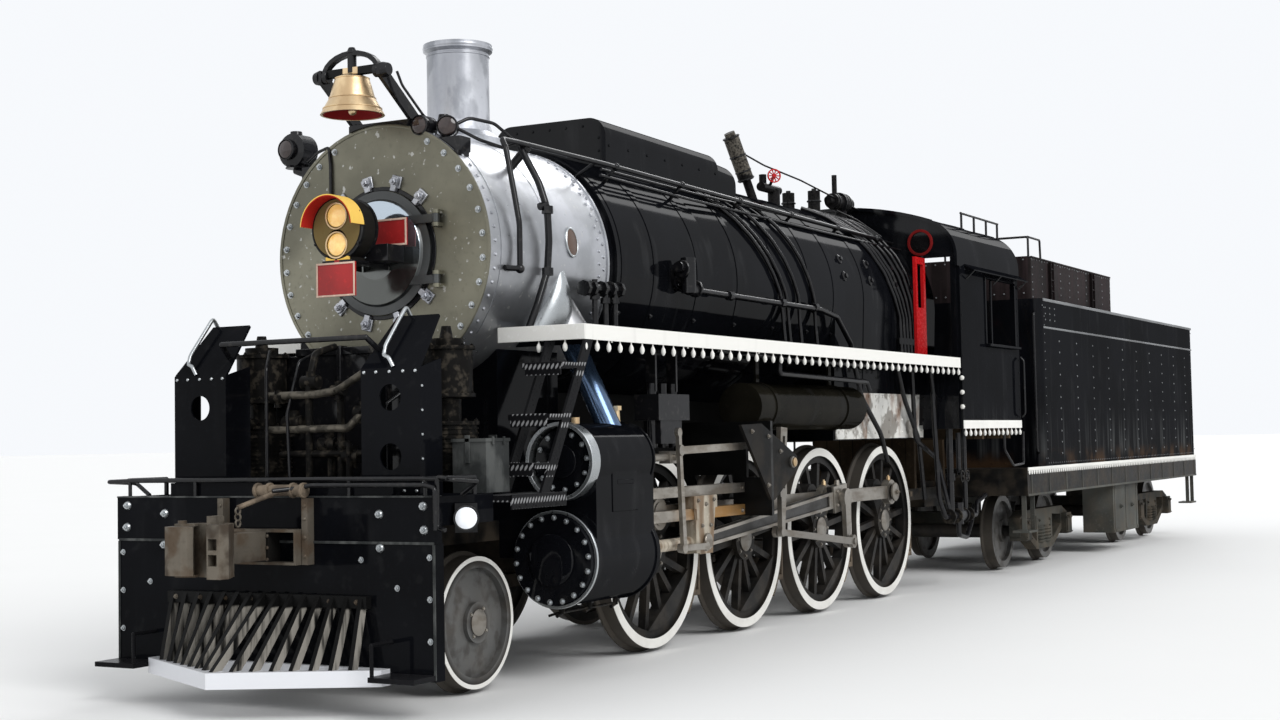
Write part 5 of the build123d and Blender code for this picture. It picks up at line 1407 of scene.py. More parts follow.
class LOCO_OT_boiler_pipes(bpy.types.Operator):
    """Sand pipes, steam pipes and unions along the boiler"""

    bl_idname = "loco.boiler_pipes"
    bl_label = "Boiler Pipes"

    def execute(self, context):
        r = sizes().pipe * 1000
        feet = (-4869, -4960, -5050, -5140, -5240, -5330)
        for side in each_side():
            runs = []
            for x_top, x_low in ((-1361, -2079), (-1470, -2190), (-1800, -2428), (-2190, -2766)):
                run = [(x_top, 470, 3640)]
                for k, angle in enumerate(spaced(54, -4, 9)):
                    share = k / 6.0
                    run.append(on_boiler(x_top + (x_low - x_top) * share, angle, r + 6))
                run += [(x_low - 30, 965, 2560), (x_low - 40, 980, BOARD_Z)]
                runs.append(run)
            piping(f"sand_pipes_{WORD[side]}", runs, r, bend=90)
            runs = []
            tops = (-4060, -4190, -4330, -4600, -4850, -5060)
            for x_top, x_low in zip(tops, feet):
                run = [on_boiler(x_top, 72, r + 6)]
                for k, angle in enumerate(spaced(60, 4, 14)):
                    run.append(on_boiler(x_top + (x_low - x_top) * (k + 1) / 6.0, angle, r + 6))
                run += [Vector((x_low, 975, 2700)), Vector((x_low - 10, 985, BOARD_Z))]
                runs.append(run)
            piping(f"firebox_pipes_{WORD[side]}", runs, r + 3, bend=90)
            line = [(480, 690, 3500), (-900, 705, 3470), (-3000, 760, 3440)]
            line += [(-5000, 770, 3430), (-5460, 780, 3430)]
            second = [(380, 640, 3560), (-1100, 655, 3540), (-2600, 700, 3530), (-5440, 705, 3500)]
            piping(f"boiler_top_pipes_{WORD[side]}", [line, second], 12, bend=200)
            joints = Shape()
            for x in (-1000, -2000, -2700):
                joints.rod((x - 34, 1006, 2684), (x + 34, 1006, 2682), 38, sides=8)
            for x, z in ((-420, 2700), (-200, 2840)):
                joints.disc((x, 1000, z), AHEAD, 66, 18, 20)
            for y, z in circle(6, 76):
                joints.bolt((-300 + y, 926, 2790 + z), ASIDE, 10)
            for x in feet:
                joints.rod((x, 980, 2440), (x, 980, 2500), 30, sides=8)
            joints.piece(f"boiler_pipe_unions_{WORD[side]}")
            below = [[(-1387, 1250, 2200), (-1387, 1250, 2064), (-3264, 1250, 2030), (-3330, 1250, 1950)]]
            below.append([(-500, 1120, 2230), (-2200, 1120, 2200), (-5300, 1120, 2190), (-5400, 1120, 1900)])
            piping(f"board_pipes_{WORD[side]}", below, 22)
        return {"FINISHED"}


class LOCO_OT_board_trim(bpy.types.Operator):
    """White edges and drops of running board and cab, and a dark plate between the frames that stands for the
    shade under the boiler
    """

    bl_idname = "loco.board_trim"
    bl_label = "Board Trim"

    def execute(self, context):
        drops = Shape()
        length = sizes().drop_length * 1000
        pitch = sizes().drop_pitch * 1000

        def drop(x, y, z):
            half = length / 2
            profile = [(0, -half), (9, -half + 4), (17, -half + 22), (16, 6)]
            profile += [(9, half - 14), (5, half - 8), (5, half + 14), (0, half + 14)]
            drops.turned(profile, (x, y, z - half - 6), UP, 12)

        low = BOARD_Z - BOARD_EDGE
        for _ in each_side():
            for x in spaced(BOARD_FRONT - 14, CAB_FRONT + 40, pitch):
                drop(x, HALF_WIDTH - 10, low)
            for y in spaced(HALF_WIDTH - 160, 1010, pitch):
                drop(BOARD_FRONT - 10, y, low)
            for x in spaced(CAB_FRONT - 100, CAB_REAR + 60, pitch):
                drop(x, HALF_WIDTH + 2, CAB_BOTTOM)
            for z in (2110, 1965, 1820):
                drops.ball((CAB_FRONT - 10, HALF_WIDTH + 6, z), 24)
        drops.piece("white_drops", "trim_white")
        strips = Shape()
        for side in each_side():
            strips.block(BOARD_FRONT - 4, BOARD_FRONT + 8, 700 if side > 0 else 960, HALF_WIDTH, low, BOARD_Z + 1)
            strips.block(CAB_REAR, CAB_FRONT - 40, HALF_WIDTH - 2, HALF_WIDTH + 8, CAB_BOTTOM, CAB_BOTTOM + 84)
        strips.piece("white_strips", "trim_white", bevel=3)
        # A dark sheet between the frames, standing for the shade under the boiler.
        shade_plate = Shape()
        shade_plate.block(-3250, 500, -12, 12, 1300, 1940)
        shade_plate.piece("frame_shade_plate", "frame_black")
        return {"FINISHED"}


class LOCO_OT_pump_pipes(bpy.types.Operator):
    """Flanges, valves and pipework of the air pumps"""

    bl_idname = "loco.pump_pipes"
    bl_label = "Air Pump Pipework"

    def execute(self, context):
        parts = Shape()
        for side in SIDES:
            y = side * 749
            for z, r in ((1320, 204), (1668, 204), (1842, 182), (2140, 182)):
                parts.ring((2560, y, z), UP, 150, r, 22, 36)
                for dx, dy in circle(10, r - 16):
                    parts.bolt((2560 + dx, y + dy, z + 22), UP, 11)
            for z in spaced(1380, 1640, 30):
                parts.ring((2560, y, z), UP, 186, 197, 10, 36)
            parts.rod((2560, y, 2205), (2560, y, 2290), 46, 30)
            parts.rod((2700, y - side * 60, 1700), (2790, y - side * 60, 1700), 40, sides=8)
        for x, y, z, r in (
            (2780, 250, 1760, 58), (2790, 60, 1900, 50), (2770, -180, 1960, 62), (2760, -330, 1700, 70),
            (2800, 400, 2010, 45), (2740, -60, 1560, 66), (2810, -420, 1860, 46), (2770, 150, 1480, 60),
        ):
            parts.rod((x - 20, y - r, z), (x - 20, y + r, z), 0.75 * r, sides=12)
            parts.rod((x - 20, y, z - 1.2 * r), (x - 20, y, z + 1.2 * r), 0.5 * r, sides=12)
            parts.bolt((x + 0.5 * r - 20, y, z), AHEAD, 0.3 * r)
        parts.piece("pump_flanges", "pump_grime")
        runs = [
            [(2790, -500, 1880), (2790, -120, 1880), (2790, 60, 1900), (2790, 300, 2020), (2700, 560, 2040)],
            [(2780, -520, 1660), (2780, 140, 1660), (2780, 260, 1760), (2760, 420, 1760)],
            [(2770, -180, 1280), (2770, -180, 1960), (2700, -180, 2150), (2500, -180, 2200)],
            [(2750, 60, 1280), (2750, 60, 1900)],
            [(2760, -420, 1500), (2760, 380, 1500), (2760, 430, 1290)],
            [(2810, 400, 1290), (2810, 400, 2010), (2740, 330, 2140), (2600, 200, 2180)],
            [(2700, -60, 1280), (2700, -60, 1560), (2780, 150, 1560), (2780, 150, 1290)],
        ]
        piping("pump_cross_pipes", runs[:2], 26, "pipe_tan")
        piping("pump_pipes", runs[2:], 24, "pump_grime")
        thin = [
            [(2830, -480, 1290), (2830, -480, 2060), (2700, -560, 2180)],
            [(2830, 480, 1290), (2830, 470, 1800), (2700, 540, 1900)],
            [(2820, -300, 1290), (2820, -320, 1760), (2720, -300, 2100), (2500, -300, 2180)],
        ]
        piping("pump_oil_pipes", thin, 11)
        saddle = Shape()
        for _ in each_side():
            saddle.block(2380, 2460, 170, 200, DECK_Z, 2210)
        saddle.block(2380, 2440, -560, 560, 2150, 2200)
        saddle.block(2392, 2426, -800, 330, DECK_Z, 2152)
        saddle.piece("pump_bracket", bevel=4)
        return {"FINISHED"}


class LOCO_OT_deck_fittings(bpy.types.Operator):
    """Bolts, rails, lever and lamps of the front deck and beam"""

    bl_idname = "loco.deck_fittings"
    bl_label = "Deck And Beam"

    def execute(self, context):
        bolts = Shape()
        for _ in each_side():
            for y, z in ((1150, 1195), (1155, 1058), (835, 1147), (840, 951)):
                bolts.turned([(0, -2), (29, -2), (27, 8), (20, 16), (0, 18)], (BEAM_X, y, z), AHEAD, 20)
                bolts.bolt((BEAM_X + 14, y, z), AHEAD, 15)
            for y, z in ((1190, 900), (700, 880), (1190, 420), (1190, 660), (960, 720)):
                bolts.bolt((BEAM_X, y, z), AHEAD, 14)
            bolts.rivet((SHIELD_X, (560, 650, 750, 850, 940), (1275, 1990)), AHEAD, 12)
            bolts.rivet((3130, 965, spaced(1320, 1900, 145)), ASIDE, 10)
        bolts.piece("beam_bolts", "door_graphite")
        edge = Shape()
        edge.block(BEAM_X - 60, BEAM_X + 6, -BEAM_HALF, BEAM_HALF, DECK_Z - 6, DECK_Z + 4)
        edge.block(BEAM_X, BEAM_X + 6, -1225, 1225, 972, 988)
        for _ in each_side():
            edge.block(BEAM_X, BEAM_X + 6, 1213, 1231, 200, 972)
        edge.piece("beam_edge", "tool_grey", bevel=2)
        runs = [
            [
                (2830, y, 2332), (2886, y, 2400), (3100, y, 2150),
                (3130, y + 10, 2090), (3150, y + 60, 2075), (3146, y + 90, 2020),
            ]
            for y in (680, -880)
        ]
        piping("shield_grab_rails", runs, 13, "door_graphite")
        lever = [
            [
                (3440, 1270, 1060), (3440, 1270, 1300), (3430, 1190, 1318), (3430, 360, 1318), (3460, 250, 1300),
                (3560, 180, 1290),
            ],
            [(3400, 1324, 1356), (3400, 1258, 1362), (3400, 1255, 1074), (3400, 1312, 1059)],
        ]
        piping("coupler_lever", lever, 14)
        guards = both([(3366, 1100, 1352), (3366, 1345, 1345), (3110, 1348, 1330), (3110, 1230, 1250)])
        piping("lamp_guards", guards, 14)
        shaft = Shape()
        shaft.rod((3440, -30, 1290), (3440, 330, 1290), 34, sides=16)
        for y in (-30, 60, 240, 318):
            shaft.rod((3440, y - 10, 1290), (3440, y + 10, 1290), 46, sides=16)
        for y in (30, 280):
            shaft.block(3386, 3450, y - 14, y + 14, DECK_Z, 1290)
        shaft.rod((3440, 150, 1290), (3760, 90, 1200), 15)
        shaft.piece("uncoupling_shaft", "worn_tan", bevel=2)
        chain = Shape()
        for k in range(3):
            a = (3760, 90, 1180 - 36 * k)
            chain.turned(
                [(17, -5), (24, -5), (24, 5), (17, 5), (17, -5)], a, AHEAD if k % 2 else ASIDE, 12
            )
        chain.piece("coupler_chain", "coupler_steel")
        lens, rims = Shape(), Shape()
        for _ in each_side():
            a = radians(34)
            way = Vector((cos(a), sin(a), 0))
            face = Vector((3215, BEAM_HALF + 90, 1120)) + way * 2
            lens.turned([(0, 2), (64, 2), (64, 10), (52, 18), (28, 24), (0, 26)], face, way, 28)
            rims.ring(face, way, 63, 76, 12, 28)
        lens.piece("beam_lamp_lenses", "clear_lens")
        rims.piece("beam_lamp_rims", bevel=2)
        lips = Shape()
        for _ in each_side():
            for x, z in ((2170, 2054), (2350, 1725), (2520, 1422)):
                lips.block(x - 8, x + 6, 1086, 1351, z - 80, z + 3)
            lips.block(2163, 2795, HALF_WIDTH - 8, HALF_WIDTH + 4, 1150, 1238)
        lips.piece("step_lips", "step_tread", bevel=2)
        hooks = Shape()
        hooks.block(2528, 2536, 1040, 1100, 1440, 1600)
        hooks.block(2790, 2800, 1040, 1075, 1430, 1600)
        for x in (2600, 2720):
            hooks.rod((x, 1196, 1590), (x, 1196, 1540), 9)
        hooks.piece("tool_box_hasps", "tool_grey", bevel=2)
        return {"FINISHED"}


class LOCO_OT_pilot_fittings(bpy.types.Operator):
    """Rivets of the coupler pocket and bolts of the top bar"""

    bl_idname = "loco.pilot_fittings"
    bl_label = "Pilot Fittings"

    def execute(self, context):
        parts = Shape()
        for _ in each_side():
            parts.rivet((BEAM_X + 110, 85, (880, 950, 1020)), AHEAD, 12)
            parts.rivet((BEAM_X + 60, 328, (900, 1010, 1120, 1200)), AHEAD, 13)
        for y in spaced(-700, 700, 200):
            parts.bolt((BEAM_X + 50, y, 636), AHEAD, 12)
        parts.piece("pilot_rivets", "coupler_steel")
        return {"FINISHED"}


class LOCO_OT_cylinder_fittings(bpy.types.Operator):
    """Cover studs, rings, plates, cocks and valves of the cylinders"""

    bl_idname = "loco.cylinder_fittings"
    bl_label = "Cylinder Fittings"

    def execute(self, context):
        studs, rings, fronts = Shape(), Shape(), Shape()
        cy, cz, cr, cx = CYLINDER
        hy, hz, hr, hx = CHEST
        for _ in each_side():
            for y, z in circle(18, cr - 32, 0.1):
                studs.bolt((cx + 40, cy + y, cz + z), AHEAD, 15)
            for y, z in circle(12, hr - 62, 0.1):
                studs.bolt((hx + 45, hy + y, hz + z), AHEAD, 14)
            cover = [(150, -2), (165, 0), (172, 14), (150, 22), (60, 26), (0, 26), (0, -2), (150, -2)]
            rings.turned(cover, (cx + 40, cy, cz), AHEAD, 40)
            fronts.ring((cx - 16, cy, cz), AHEAD, 300, 322, 18, 56)
            fronts.ring((hx - 16, hy, hz), AHEAD, 232, 258, 106, 48)
            rings.ring((962, cy, cz), AHEAD, 300, 320, 18, 56)
            rings.ring((962, hy, hz), AHEAD, 240, 258, 18, 48)
            cover = [(60, -2), (110, 0), (110, 12), (60, 20), (0, 20), (0, -2), (60, -2)]
            rings.turned(cover, (hx + 45, hy, hz), AHEAD, 32)
            for y, z in circle(6, 105, 0.3):
                studs.bolt((820, cy + y * 0.6, cz + z * 0.6), (-1, 0, 0), 10)
        studs.piece("cylinder_studs", "door_graphite")
        rings.piece("cylinder_rings", "gloss_black", bevel=3)
        fronts.piece("cylinder_front_rings", "door_graphite", bevel=3)
        plates = Shape()
        for _ in each_side():
            plates.block(1180, 1520, 1337, 1346, 1080, 1350)
            plates.block(1240, 1460, 1341, 1350, 1260, 1290)
        plates.piece("cylinder_plates", "gloss_black", bevel=4)
        cocks = Shape()
        for _ in each_side():
            for x in (1020, 1375, 1730):
                cocks.rod((x, cy, cz - cr - 50), (x, cy, cz - cr + 6), 20, sides=8)
                cocks.rod((x, cy, cz - cr - 44), (x + 60, cy, cz - cr - 60), 13)
        cocks.piece("cylinder_cocks", "pump_grime")
        foot = cz - cr - 40
        drains = both([(1000, cy, foot), (1760, cy, foot), (1800, cy - 60, foot - 20)])
        piping("cock_pipes", drains, 9, "pump_grime")
        valves = Shape()
        for _ in each_side():
            valves.rod((1040, hy, hz + hr - 6), (1040, hy, hz + hr + 90), 26, 20, sides=12)
            valves.rod((1040, hy, hz + hr + 90), (1040, hy, hz + hr + 120), 34, sides=6)
            valves.rod((1600, hy, hz + hr - 8), (1600, hy, hz + hr + 40), 30, sides=12)
        valves.piece("chest_valves", "bell_brass")
        return {"FINISHED"}


class LOCO_OT_motion_fittings(bpy.types.Operator):
    """Pin ends, nuts, oil cups and straps of the rods and valve gear"""

    bl_idname = "loco.motion_fittings"
    bl_label = "Rods And Valve Gear"

    def execute(self, context):
        for side in each_side():
            angle = radians(CRANK_ANGLE[side])
            pin_x, pin_z = CRANK * cos(angle), WHEEL_Z + CRANK * sin(angle)
            cups = Shape()
            for x in (axle + pin_x for axle in AXLES):
                cups.rod((x, SIDE_ROD_Y, pin_z + 112), (x, SIDE_ROD_Y, pin_z + 150), 22, 17, sides=12)
                cups.rod((x, SIDE_ROD_Y, pin_z + 148), (x, SIDE_ROD_Y, pin_z + 162), 9, sides=8)
            cups.piece(f"side_rod_cups_{WORD[side]}", "bell_brass", f"side_rod_{WORD[side]}")
            main_x = AXLES[2] + pin_x
            cross_z = CYLINDER[1]
            cross_x = main_x + sqrt(MAIN_ROD_LENGTH ** 2 - (pin_z - cross_z) ** 2)
            strap = Shape()
            for dx in (-110, 110):
                for dz in (60, -60):
                    strap.bolt((main_x + dx, MAIN_ROD_FACE, pin_z + dz), ASIDE, 16)
            strap.rod((main_x, 1060, pin_z + 112), (main_x, 1060, pin_z + 158), 26, 20)
            strap.piece(f"main_rod_bolts_{WORD[side]}", "worn_steel")
            cross = Shape()
            cross.disc((cross_x, 1136, cross_z), ASIDE, 62, 16)
            for dx, z in ((-70, 900), (70, 900), (-60, 740), (90, 740), (0, 1060), (-130, 1090), (130, 1090)):
                cross.bolt((cross_x + dx, 1128, z), ASIDE, 13)
            cross.piece(f"crosshead_bolts_{WORD[side]}", "worn_steel")
            wedge = Shape()
            wedge.block(cross_x + 80, cross_x + 150, 1012, 1108, 1032, 1060)
            wedge.piece(f"crosshead_shoe_{WORD[side]}", "bell_brass", bevel=2)
        pins = Shape()
        for _ in each_side():
            pins.turned([(0, 0), (46, 0), (46, 14), (30, 22), (0, 22)], (-1400, 1335, 1350), ASIDE, 24)
            for x, z in ((-660, 1600), (-960, 1560), (-1180, 1440), (-940, 1180)):
                pins.bolt((x, 1335, z), ASIDE, 14)
            for z in (985, 1162):
                pins.bolt((-940, MAIN_ROD_FACE, z), ASIDE, 14)
                pins.bolt((820, MAIN_ROD_FACE, z), ASIDE, 14)
        pins.piece("motion_pins", "worn_steel")
        cap = Shape()
        for _ in each_side():
            cap.turned([(0, 20), (36, 20), (36, 30), (24, 38), (0, 40)], (-1400, 1335, 1350), ASIDE, 24)
        cap.piece("link_caps", "bell_brass")
        return {"FINISHED"}


class LOCO_OT_wheel_fittings(bpy.types.Operator):
    """Axle ends and crank pin collars of the wheels"""

    bl_idname = "loco.wheel_fittings"
    bl_label = "Wheel Fittings"

    def execute(self, context):
        for number, axle in enumerate(AXLES, 1):
            ends, nuts = Shape(), Shape()
            for side in each_side():
                angle = radians(CRANK_ANGLE[side])
                end = [(0, 0), (104, 0), (104, 8), (96, 14), (0, 16)]
                ends.turned(end, (axle, WHEEL_FACE, WHEEL_Z), ASIDE, 32)
                for x, z in circle(8, 142):
                    ends.bolt((axle + x, WHEEL_FACE - 1, WHEEL_Z + z), ASIDE, 12, stud=False)
                px, pz = axle + CRANK * cos(angle), WHEEL_Z + CRANK * sin(angle)
                if number == 1:
                    nuts.turned([(0, 0), (88, 0), (88, 3), (0, 3)], (px, 974, pz), ASIDE, 32)
                elif number == 2:
                    nuts.turned([(0, 0), (88, 0), (88, 8), (76, 14), (0, 14)], (px, 994, pz), ASIDE, 32)
                elif number == 4:
                    nuts.turned([(0, 0), (88, 0), (88, 16), (76, 24), (0, 24)], (px, 994, pz), ASIDE, 32)
                    nuts.bolt((px, 1018, pz), ASIDE, 22)
            ends.piece(f"axle_ends_{number}", "worn_steel", f"drivers_{number}")
            if number != 3:
                nuts.piece(f"crank_pin_collars_{number}", "worn_steel", f"drivers_{number}")
        pony = Shape()
        for _ in each_side():
            end = [(0, 0), (84, 0), (84, 6), (60, 12), (0, 14)]
            pony.turned(end, (PONY_X, PONY_FACE, SMALL_WHEEL_Z), ASIDE, 32)
            for x, z in circle(4, 100, 0.6):
                pony.bolt((PONY_X + x, PONY_FACE, SMALL_WHEEL_Z + z), ASIDE, 10, stud=False)
        pony.piece("pony_axle_ends", "worn_steel", "pony_wheels")
        return {"FINISHED"}


class LOCO_OT_firebox_sheet(bpy.types.Operator):
    """Worn silver sheet, staybolt caps and pipes on the lower firebox"""

    bl_idname = "loco.firebox_sheet"
    bl_label = "Lower Firebox"

    def execute(self, context):
        sheet, caps = Shape(), Shape()
        for _ in each_side():
            line = [((-3330, firebox_side(z) + 1, z), ASIDE) for z in spaced(1950, 1520, 60)]
            sheet.ribbon(line, (-2300, 0, 0), 9)
            for z in (1580, 1700, 1820, 1920):
                for x in spaced(-3400, -5560, 180):
                    caps.rivet((x, firebox_side(z) + 9, z), ASIDE, 16)
        sheet.piece("firebox_sheet", "sheet_silver")
        caps.piece("staybolt_caps", "sheet_silver")
        for side in each_side():
            runs = [
                [(-3600, 985, 2270), (-3800, 985, 1900), (-4250, 990, 1560), (-4400, 990, 1300)],
                [(-4700, 985, 2270), (-4900, 990, 1900), (-5250, 1000, 1500), (-5350, 1010, 900)],
                [(-5100, 1000, 2270), (-5150, 1000, 1500), (-5560, 1080, 1300), (-5580, 1190, 760)],
            ]
            piping(f"firebox_low_pipes_{WORD[side]}", runs, 24, bend=140)
        return {"FINISHED"}


class LOCO_OT_cab_trim(bpy.types.Operator):
    """Window frames, panes, rivets, roof ribs, rails, step hoops and awning struts of the cab"""

    bl_idname = "loco.cab_trim"
    bl_label = "Cab Trim"

    def execute(self, context):
        x0, x1, z0, z1 = -7330, -6350, 2480, 3170
        frames, rivets = Shape(), Shape()
        for _ in each_side():
            frames.block(x0 - 30, x1 + 30, HALF_WIDTH - 4, HALF_WIDTH + 12, z1, z1 + 28)
            frames.block(x0 - 30, x0, HALF_WIDTH - 4, HALF_WIDTH + 12, z0, z1)
            frames.block(x1, x1 + 30, HALF_WIDTH - 4, HALF_WIDTH + 12, z0, z1)
            frames.block(x0 - 40, x1 + 40, HALF_WIDTH - 60, HALF_WIDTH + 60, z0 - 26, z0)
            frames.block(x1 - 330, x1 - 300, 1318, 1336, z0, z1)
            rivets.rivet((spaced(CAB_FRONT - 70, CAB_REAR + 40, 130), HALF_WIDTH, (1720, 3215)), ASIDE, 9)
            rivets.rivet(((CAB_FRONT - 80, CAB_REAR + 30), HALF_WIDTH, spaced(1800, 3150, 130)), ASIDE, 9)
            rivets.rivet((CAB_FRONT, spaced(1000, 1340, 85), 2250), AHEAD, 8)
        frames.piece("cab_window_frames", "gloss_black", bevel=3)
        rivets.piece("cab_rivets", "gloss_black")
        rings, panes = Shape(), Shape()
        for _ in each_side():
            rings.ring((CAB_FRONT - 2, 980, 3495), AHEAD, 108, 136, 14, 40)
            panes.disc((CAB_FRONT - 12, 980, 3495), AHEAD, 112, 6, 40)
        rings.piece("round_window_rings", "bell_red", bevel=3)
        panes.piece("round_window_panes", "dark_glass")
        roof = Shape()
        for x in (-5515, -6520, -7530):
            roof.ribbon(roof_arch(x, 20), (28, 0, 0), 9)
        roof.ribbon(roof_arch(-6900, 6), (700, 0, 0), 34)
        roof.piece("roof_ribs_and_hatch", "gloss_black", bevel=3)
        rails = both(
            [(-6250, 1160, 3860), (-7500, 1160, 3860)],
            [(-7440, 1395, 1720), (-7440, 1430, 1760), (-7440, 1430, 2330), (-7440, 1395, 2370)],
        )
        posts = both(*([(x, 1160, 3600), (x, 1160, 3862)] for x in (-6270, -6680, -7090, -7480)))
        piping("roof_rails", rails + posts, 13)
        hoops = ((-6863, 1569), (-6863, 1369), (-7161, 1196), (-7527, 1212), (-7540, 1560))
        piping("cab_step_hoops", both([(x, HALF_WIDTH, z) for x, z in hoops]), 14)
        struts = Shape()
        for _ in each_side():
            for x in (-7500, -6620, -5740):
                struts.rod((x, 1374, 3120), (x, 1466, 3206), 8)
        struts.piece("awning_struts")
        return {"FINISHED"}


class LOCO_OT_cab_controls(bpy.types.Operator):
    """Gauges, valves and levers on the backhead"""

    bl_idname = "loco.cab_controls"
    bl_label = "Cab Controls"

    def execute(self, context):
        gauges, faces, gear = Shape(), Shape(), Shape()
        back = -5950
        for y, z, r in ((-260, 3330, 95), (0, 3380, 110), (270, 3330, 95), (480, 3200, 70), (-480, 3200, 70)):
            case = [(0, 0), (r, 0), (r, 70), (r - 10, 76), (r - 12, 62), (0, 62)]
            gauges.turned(case, (back, y, z), (-1, 0, 0), 32)
            faces.turned([(0, 61), (r - 13, 61), (r - 13, 65), (0, 65)], (back, y, z), (-1, 0, 0), 32)
        for y, z, r in ((-360, 2700, 80), (360, 2650, 80), (-150, 3000, 60), (120, 2960, 60)):
            gear.ring((back - 60, y, z), (-1, 0, 0), r - 12, r, 12, 24)
            gear.rod((back, y, z), (back - 76, y, z), 16)
            gear.rod((back - 66, y - r + 6, z), (back - 66, y + r - 6, z), 6)
            gear.rod((back - 66, y, z - r + 6), (back - 66, y, z + r - 6), 6)
        gauges.piece("gauge_cases", "bell_brass")
        faces.piece("gauge_faces", "trim_white")
        gear.piece("backhead_valves", "signal_red")
        runs = [
            [(back - 20, -260, 3240), (back - 60, -260, 2900), (back - 40, -360, 2720)],
            [(back - 20, 0, 3280), (back - 60, 0, 3000), (back - 50, 120, 2960), (back - 40, 300, 2660)],
        ]
        run = [(back - 30, 480, 3140), (back - 60, 520, 2800), (back - 30, 560, 2200), (back - 30, 560, 1640)]
        runs += both(run)
        piping("backhead_pipes", runs, 13, "bell_brass")
        return {"FINISHED"}


class LOCO_OT_injector_pipes(bpy.types.Operator):
    """Pipes, flanges and valves under the cab"""

    bl_idname = "loco.injector_pipes"
    bl_label = "Under The Cab"

    def execute(self, context):
        for side in each_side():
            runs = [
                [(-5560, 1190, 720), (-5440, 1190, 720), (-5380, 1150, 900), (-5380, 1100, 2270)],
                [
                    (-5840, 1190, 640), (-5840, 1190, 520), (-6200, 1150, 480),
                    (-6800, 1000, 600), (-7200, 900, 760),
                ],
                [(-6130, 1190, 720), (-6400, 1190, 700), (-6700, 1100, 820), (-7150, 1050, 880)],
                [(-5740, 1240, 1560), (-5740, 1240, 1180), (-5800, 1230, 1120)],
            ]
            piping(f"injector_pipes_{WORD[side]}", runs, 25, bend=110)
            parts = Shape()
            for x, z in ((-5560, 720), (-6130, 720), (-5980, 720), (-5760, 720)):
                parts.disc((x, 1190, z), AHEAD, 76, 16, 20)
            for x in (-5740, -5900):
                parts.turned([(50, 0), (60, 0), (60, 10), (50, 10), (50, 0)], (x, 1270, 1120), ASIDE, 20)
                parts.rod((x, 1190, 1120), (x, 1282, 1120), 12)
                parts.rod((x - 54, 1275, 1120), (x + 54, 1275, 1120), 5)
            parts.piece(f"injector_valves_{WORD[side]}", "pump_grime")
        return {"FINISHED"}


class LOCO_OT_tender_rivets(bpy.types.Operator):
    """Rivet rows and mouldings of the tender tank and bunker"""

    bl_idname = "loco.tender_rivets"
    bl_label = "Tender Rivets"

    def execute(self, context):
        rivets, ends, beads = Shape(), Shape(), Shape()
        pitch = sizes().rivet_pitch * 1000
        for _ in each_side():
            y = HALF_WIDTH
            rivets.rivet((spaced(-9060, -15742, 743), y, spaced(1300, 2610, pitch)), ASIDE, 12)
            rivets.rivet(((-8520, -8700, -8900), y, (2840, 2910, 2980)), ASIDE, 10)
            rivets.rivet(((TANK_FRONT - 120, TANK_REAR + 120), y, spaced(1250, 2980, 100)), ASIDE, 8)
            rivets.rivet((spaced(TANK_FRONT - 150, TANK_REAR + 150, 90), y, 1195), ASIDE, 8)
            for z0, high, out in ((TANK_BEAD - 12, 24, 10), (COPING_Z - 30, 34, 14)):
                beads.block(TANK_REAR + 60, TANK_FRONT - 80, HALF_WIDTH - 2, HALF_WIDTH + out, z0, z0 + high)
            rivets.rivet(((TANK_FRONT - 60, TANK_REAR + 60), y, (1250, 3000)), ASIDE, 8)
        for x, way in ((TANK_FRONT, AHEAD), (TANK_REAR, (-1, 0, 0))):
            ends.rivet((x, spaced(-1200, 1200, 150), (1200, 1700, 2200, 2700, 3020)), way, 9)
        # Tank rivets and mouldings carry painted highlights.
        rivets.piece("tank_rivets", "painted_highlight_grey", "tender")
        ends.piece("tank_end_rivets", "tank_black", "tender")
        beads.piece("tank_mouldings", "painted_highlight_grey", "tender", bevel=6)
        x0, x1, half, top = BUNKER
        bunker, ribs = Shape(), Shape()
        for _ in each_side():
            bunker.rivet((spaced(x0 + 90, x1 - 90, 400), half, spaced(2800, top - 40, 90)), ASIDE, 11)
            bunker.rivet((spaced(x0 + 60, x1 - 60, 110), half, top - 30), ASIDE, 9)
            for x in (-9900, -11800):
                for dx in (-60, 60):
                    ribs.block(x + dx - 8, x + dx + 8, half, half + 34, 2760, top - 20)
                for z in spaced(2860, top - 100, 150):
                    ribs.block(x - 60, x + 60, half + 14, half + 30, z - 8, z + 8)
            ribs.block(x0 + 50, x1 - 50, half - 4, half + 10, top - 14, top + 4)
        for x, way in ((x1, AHEAD), (x0, (-1, 0, 0))):
            bunker.rivet((x, spaced(-half + 80, half - 80, 120), (2800, 3200, 3600)), way, 11)
        # Bunker rivets carry painted highlights.
        bunker.piece("bunker_rivets", "painted_highlight_grey", "tender")
        ribs.piece("bunker_ladders", "bunker_brown", "tender", bevel=2)
        return {"FINISHED"}


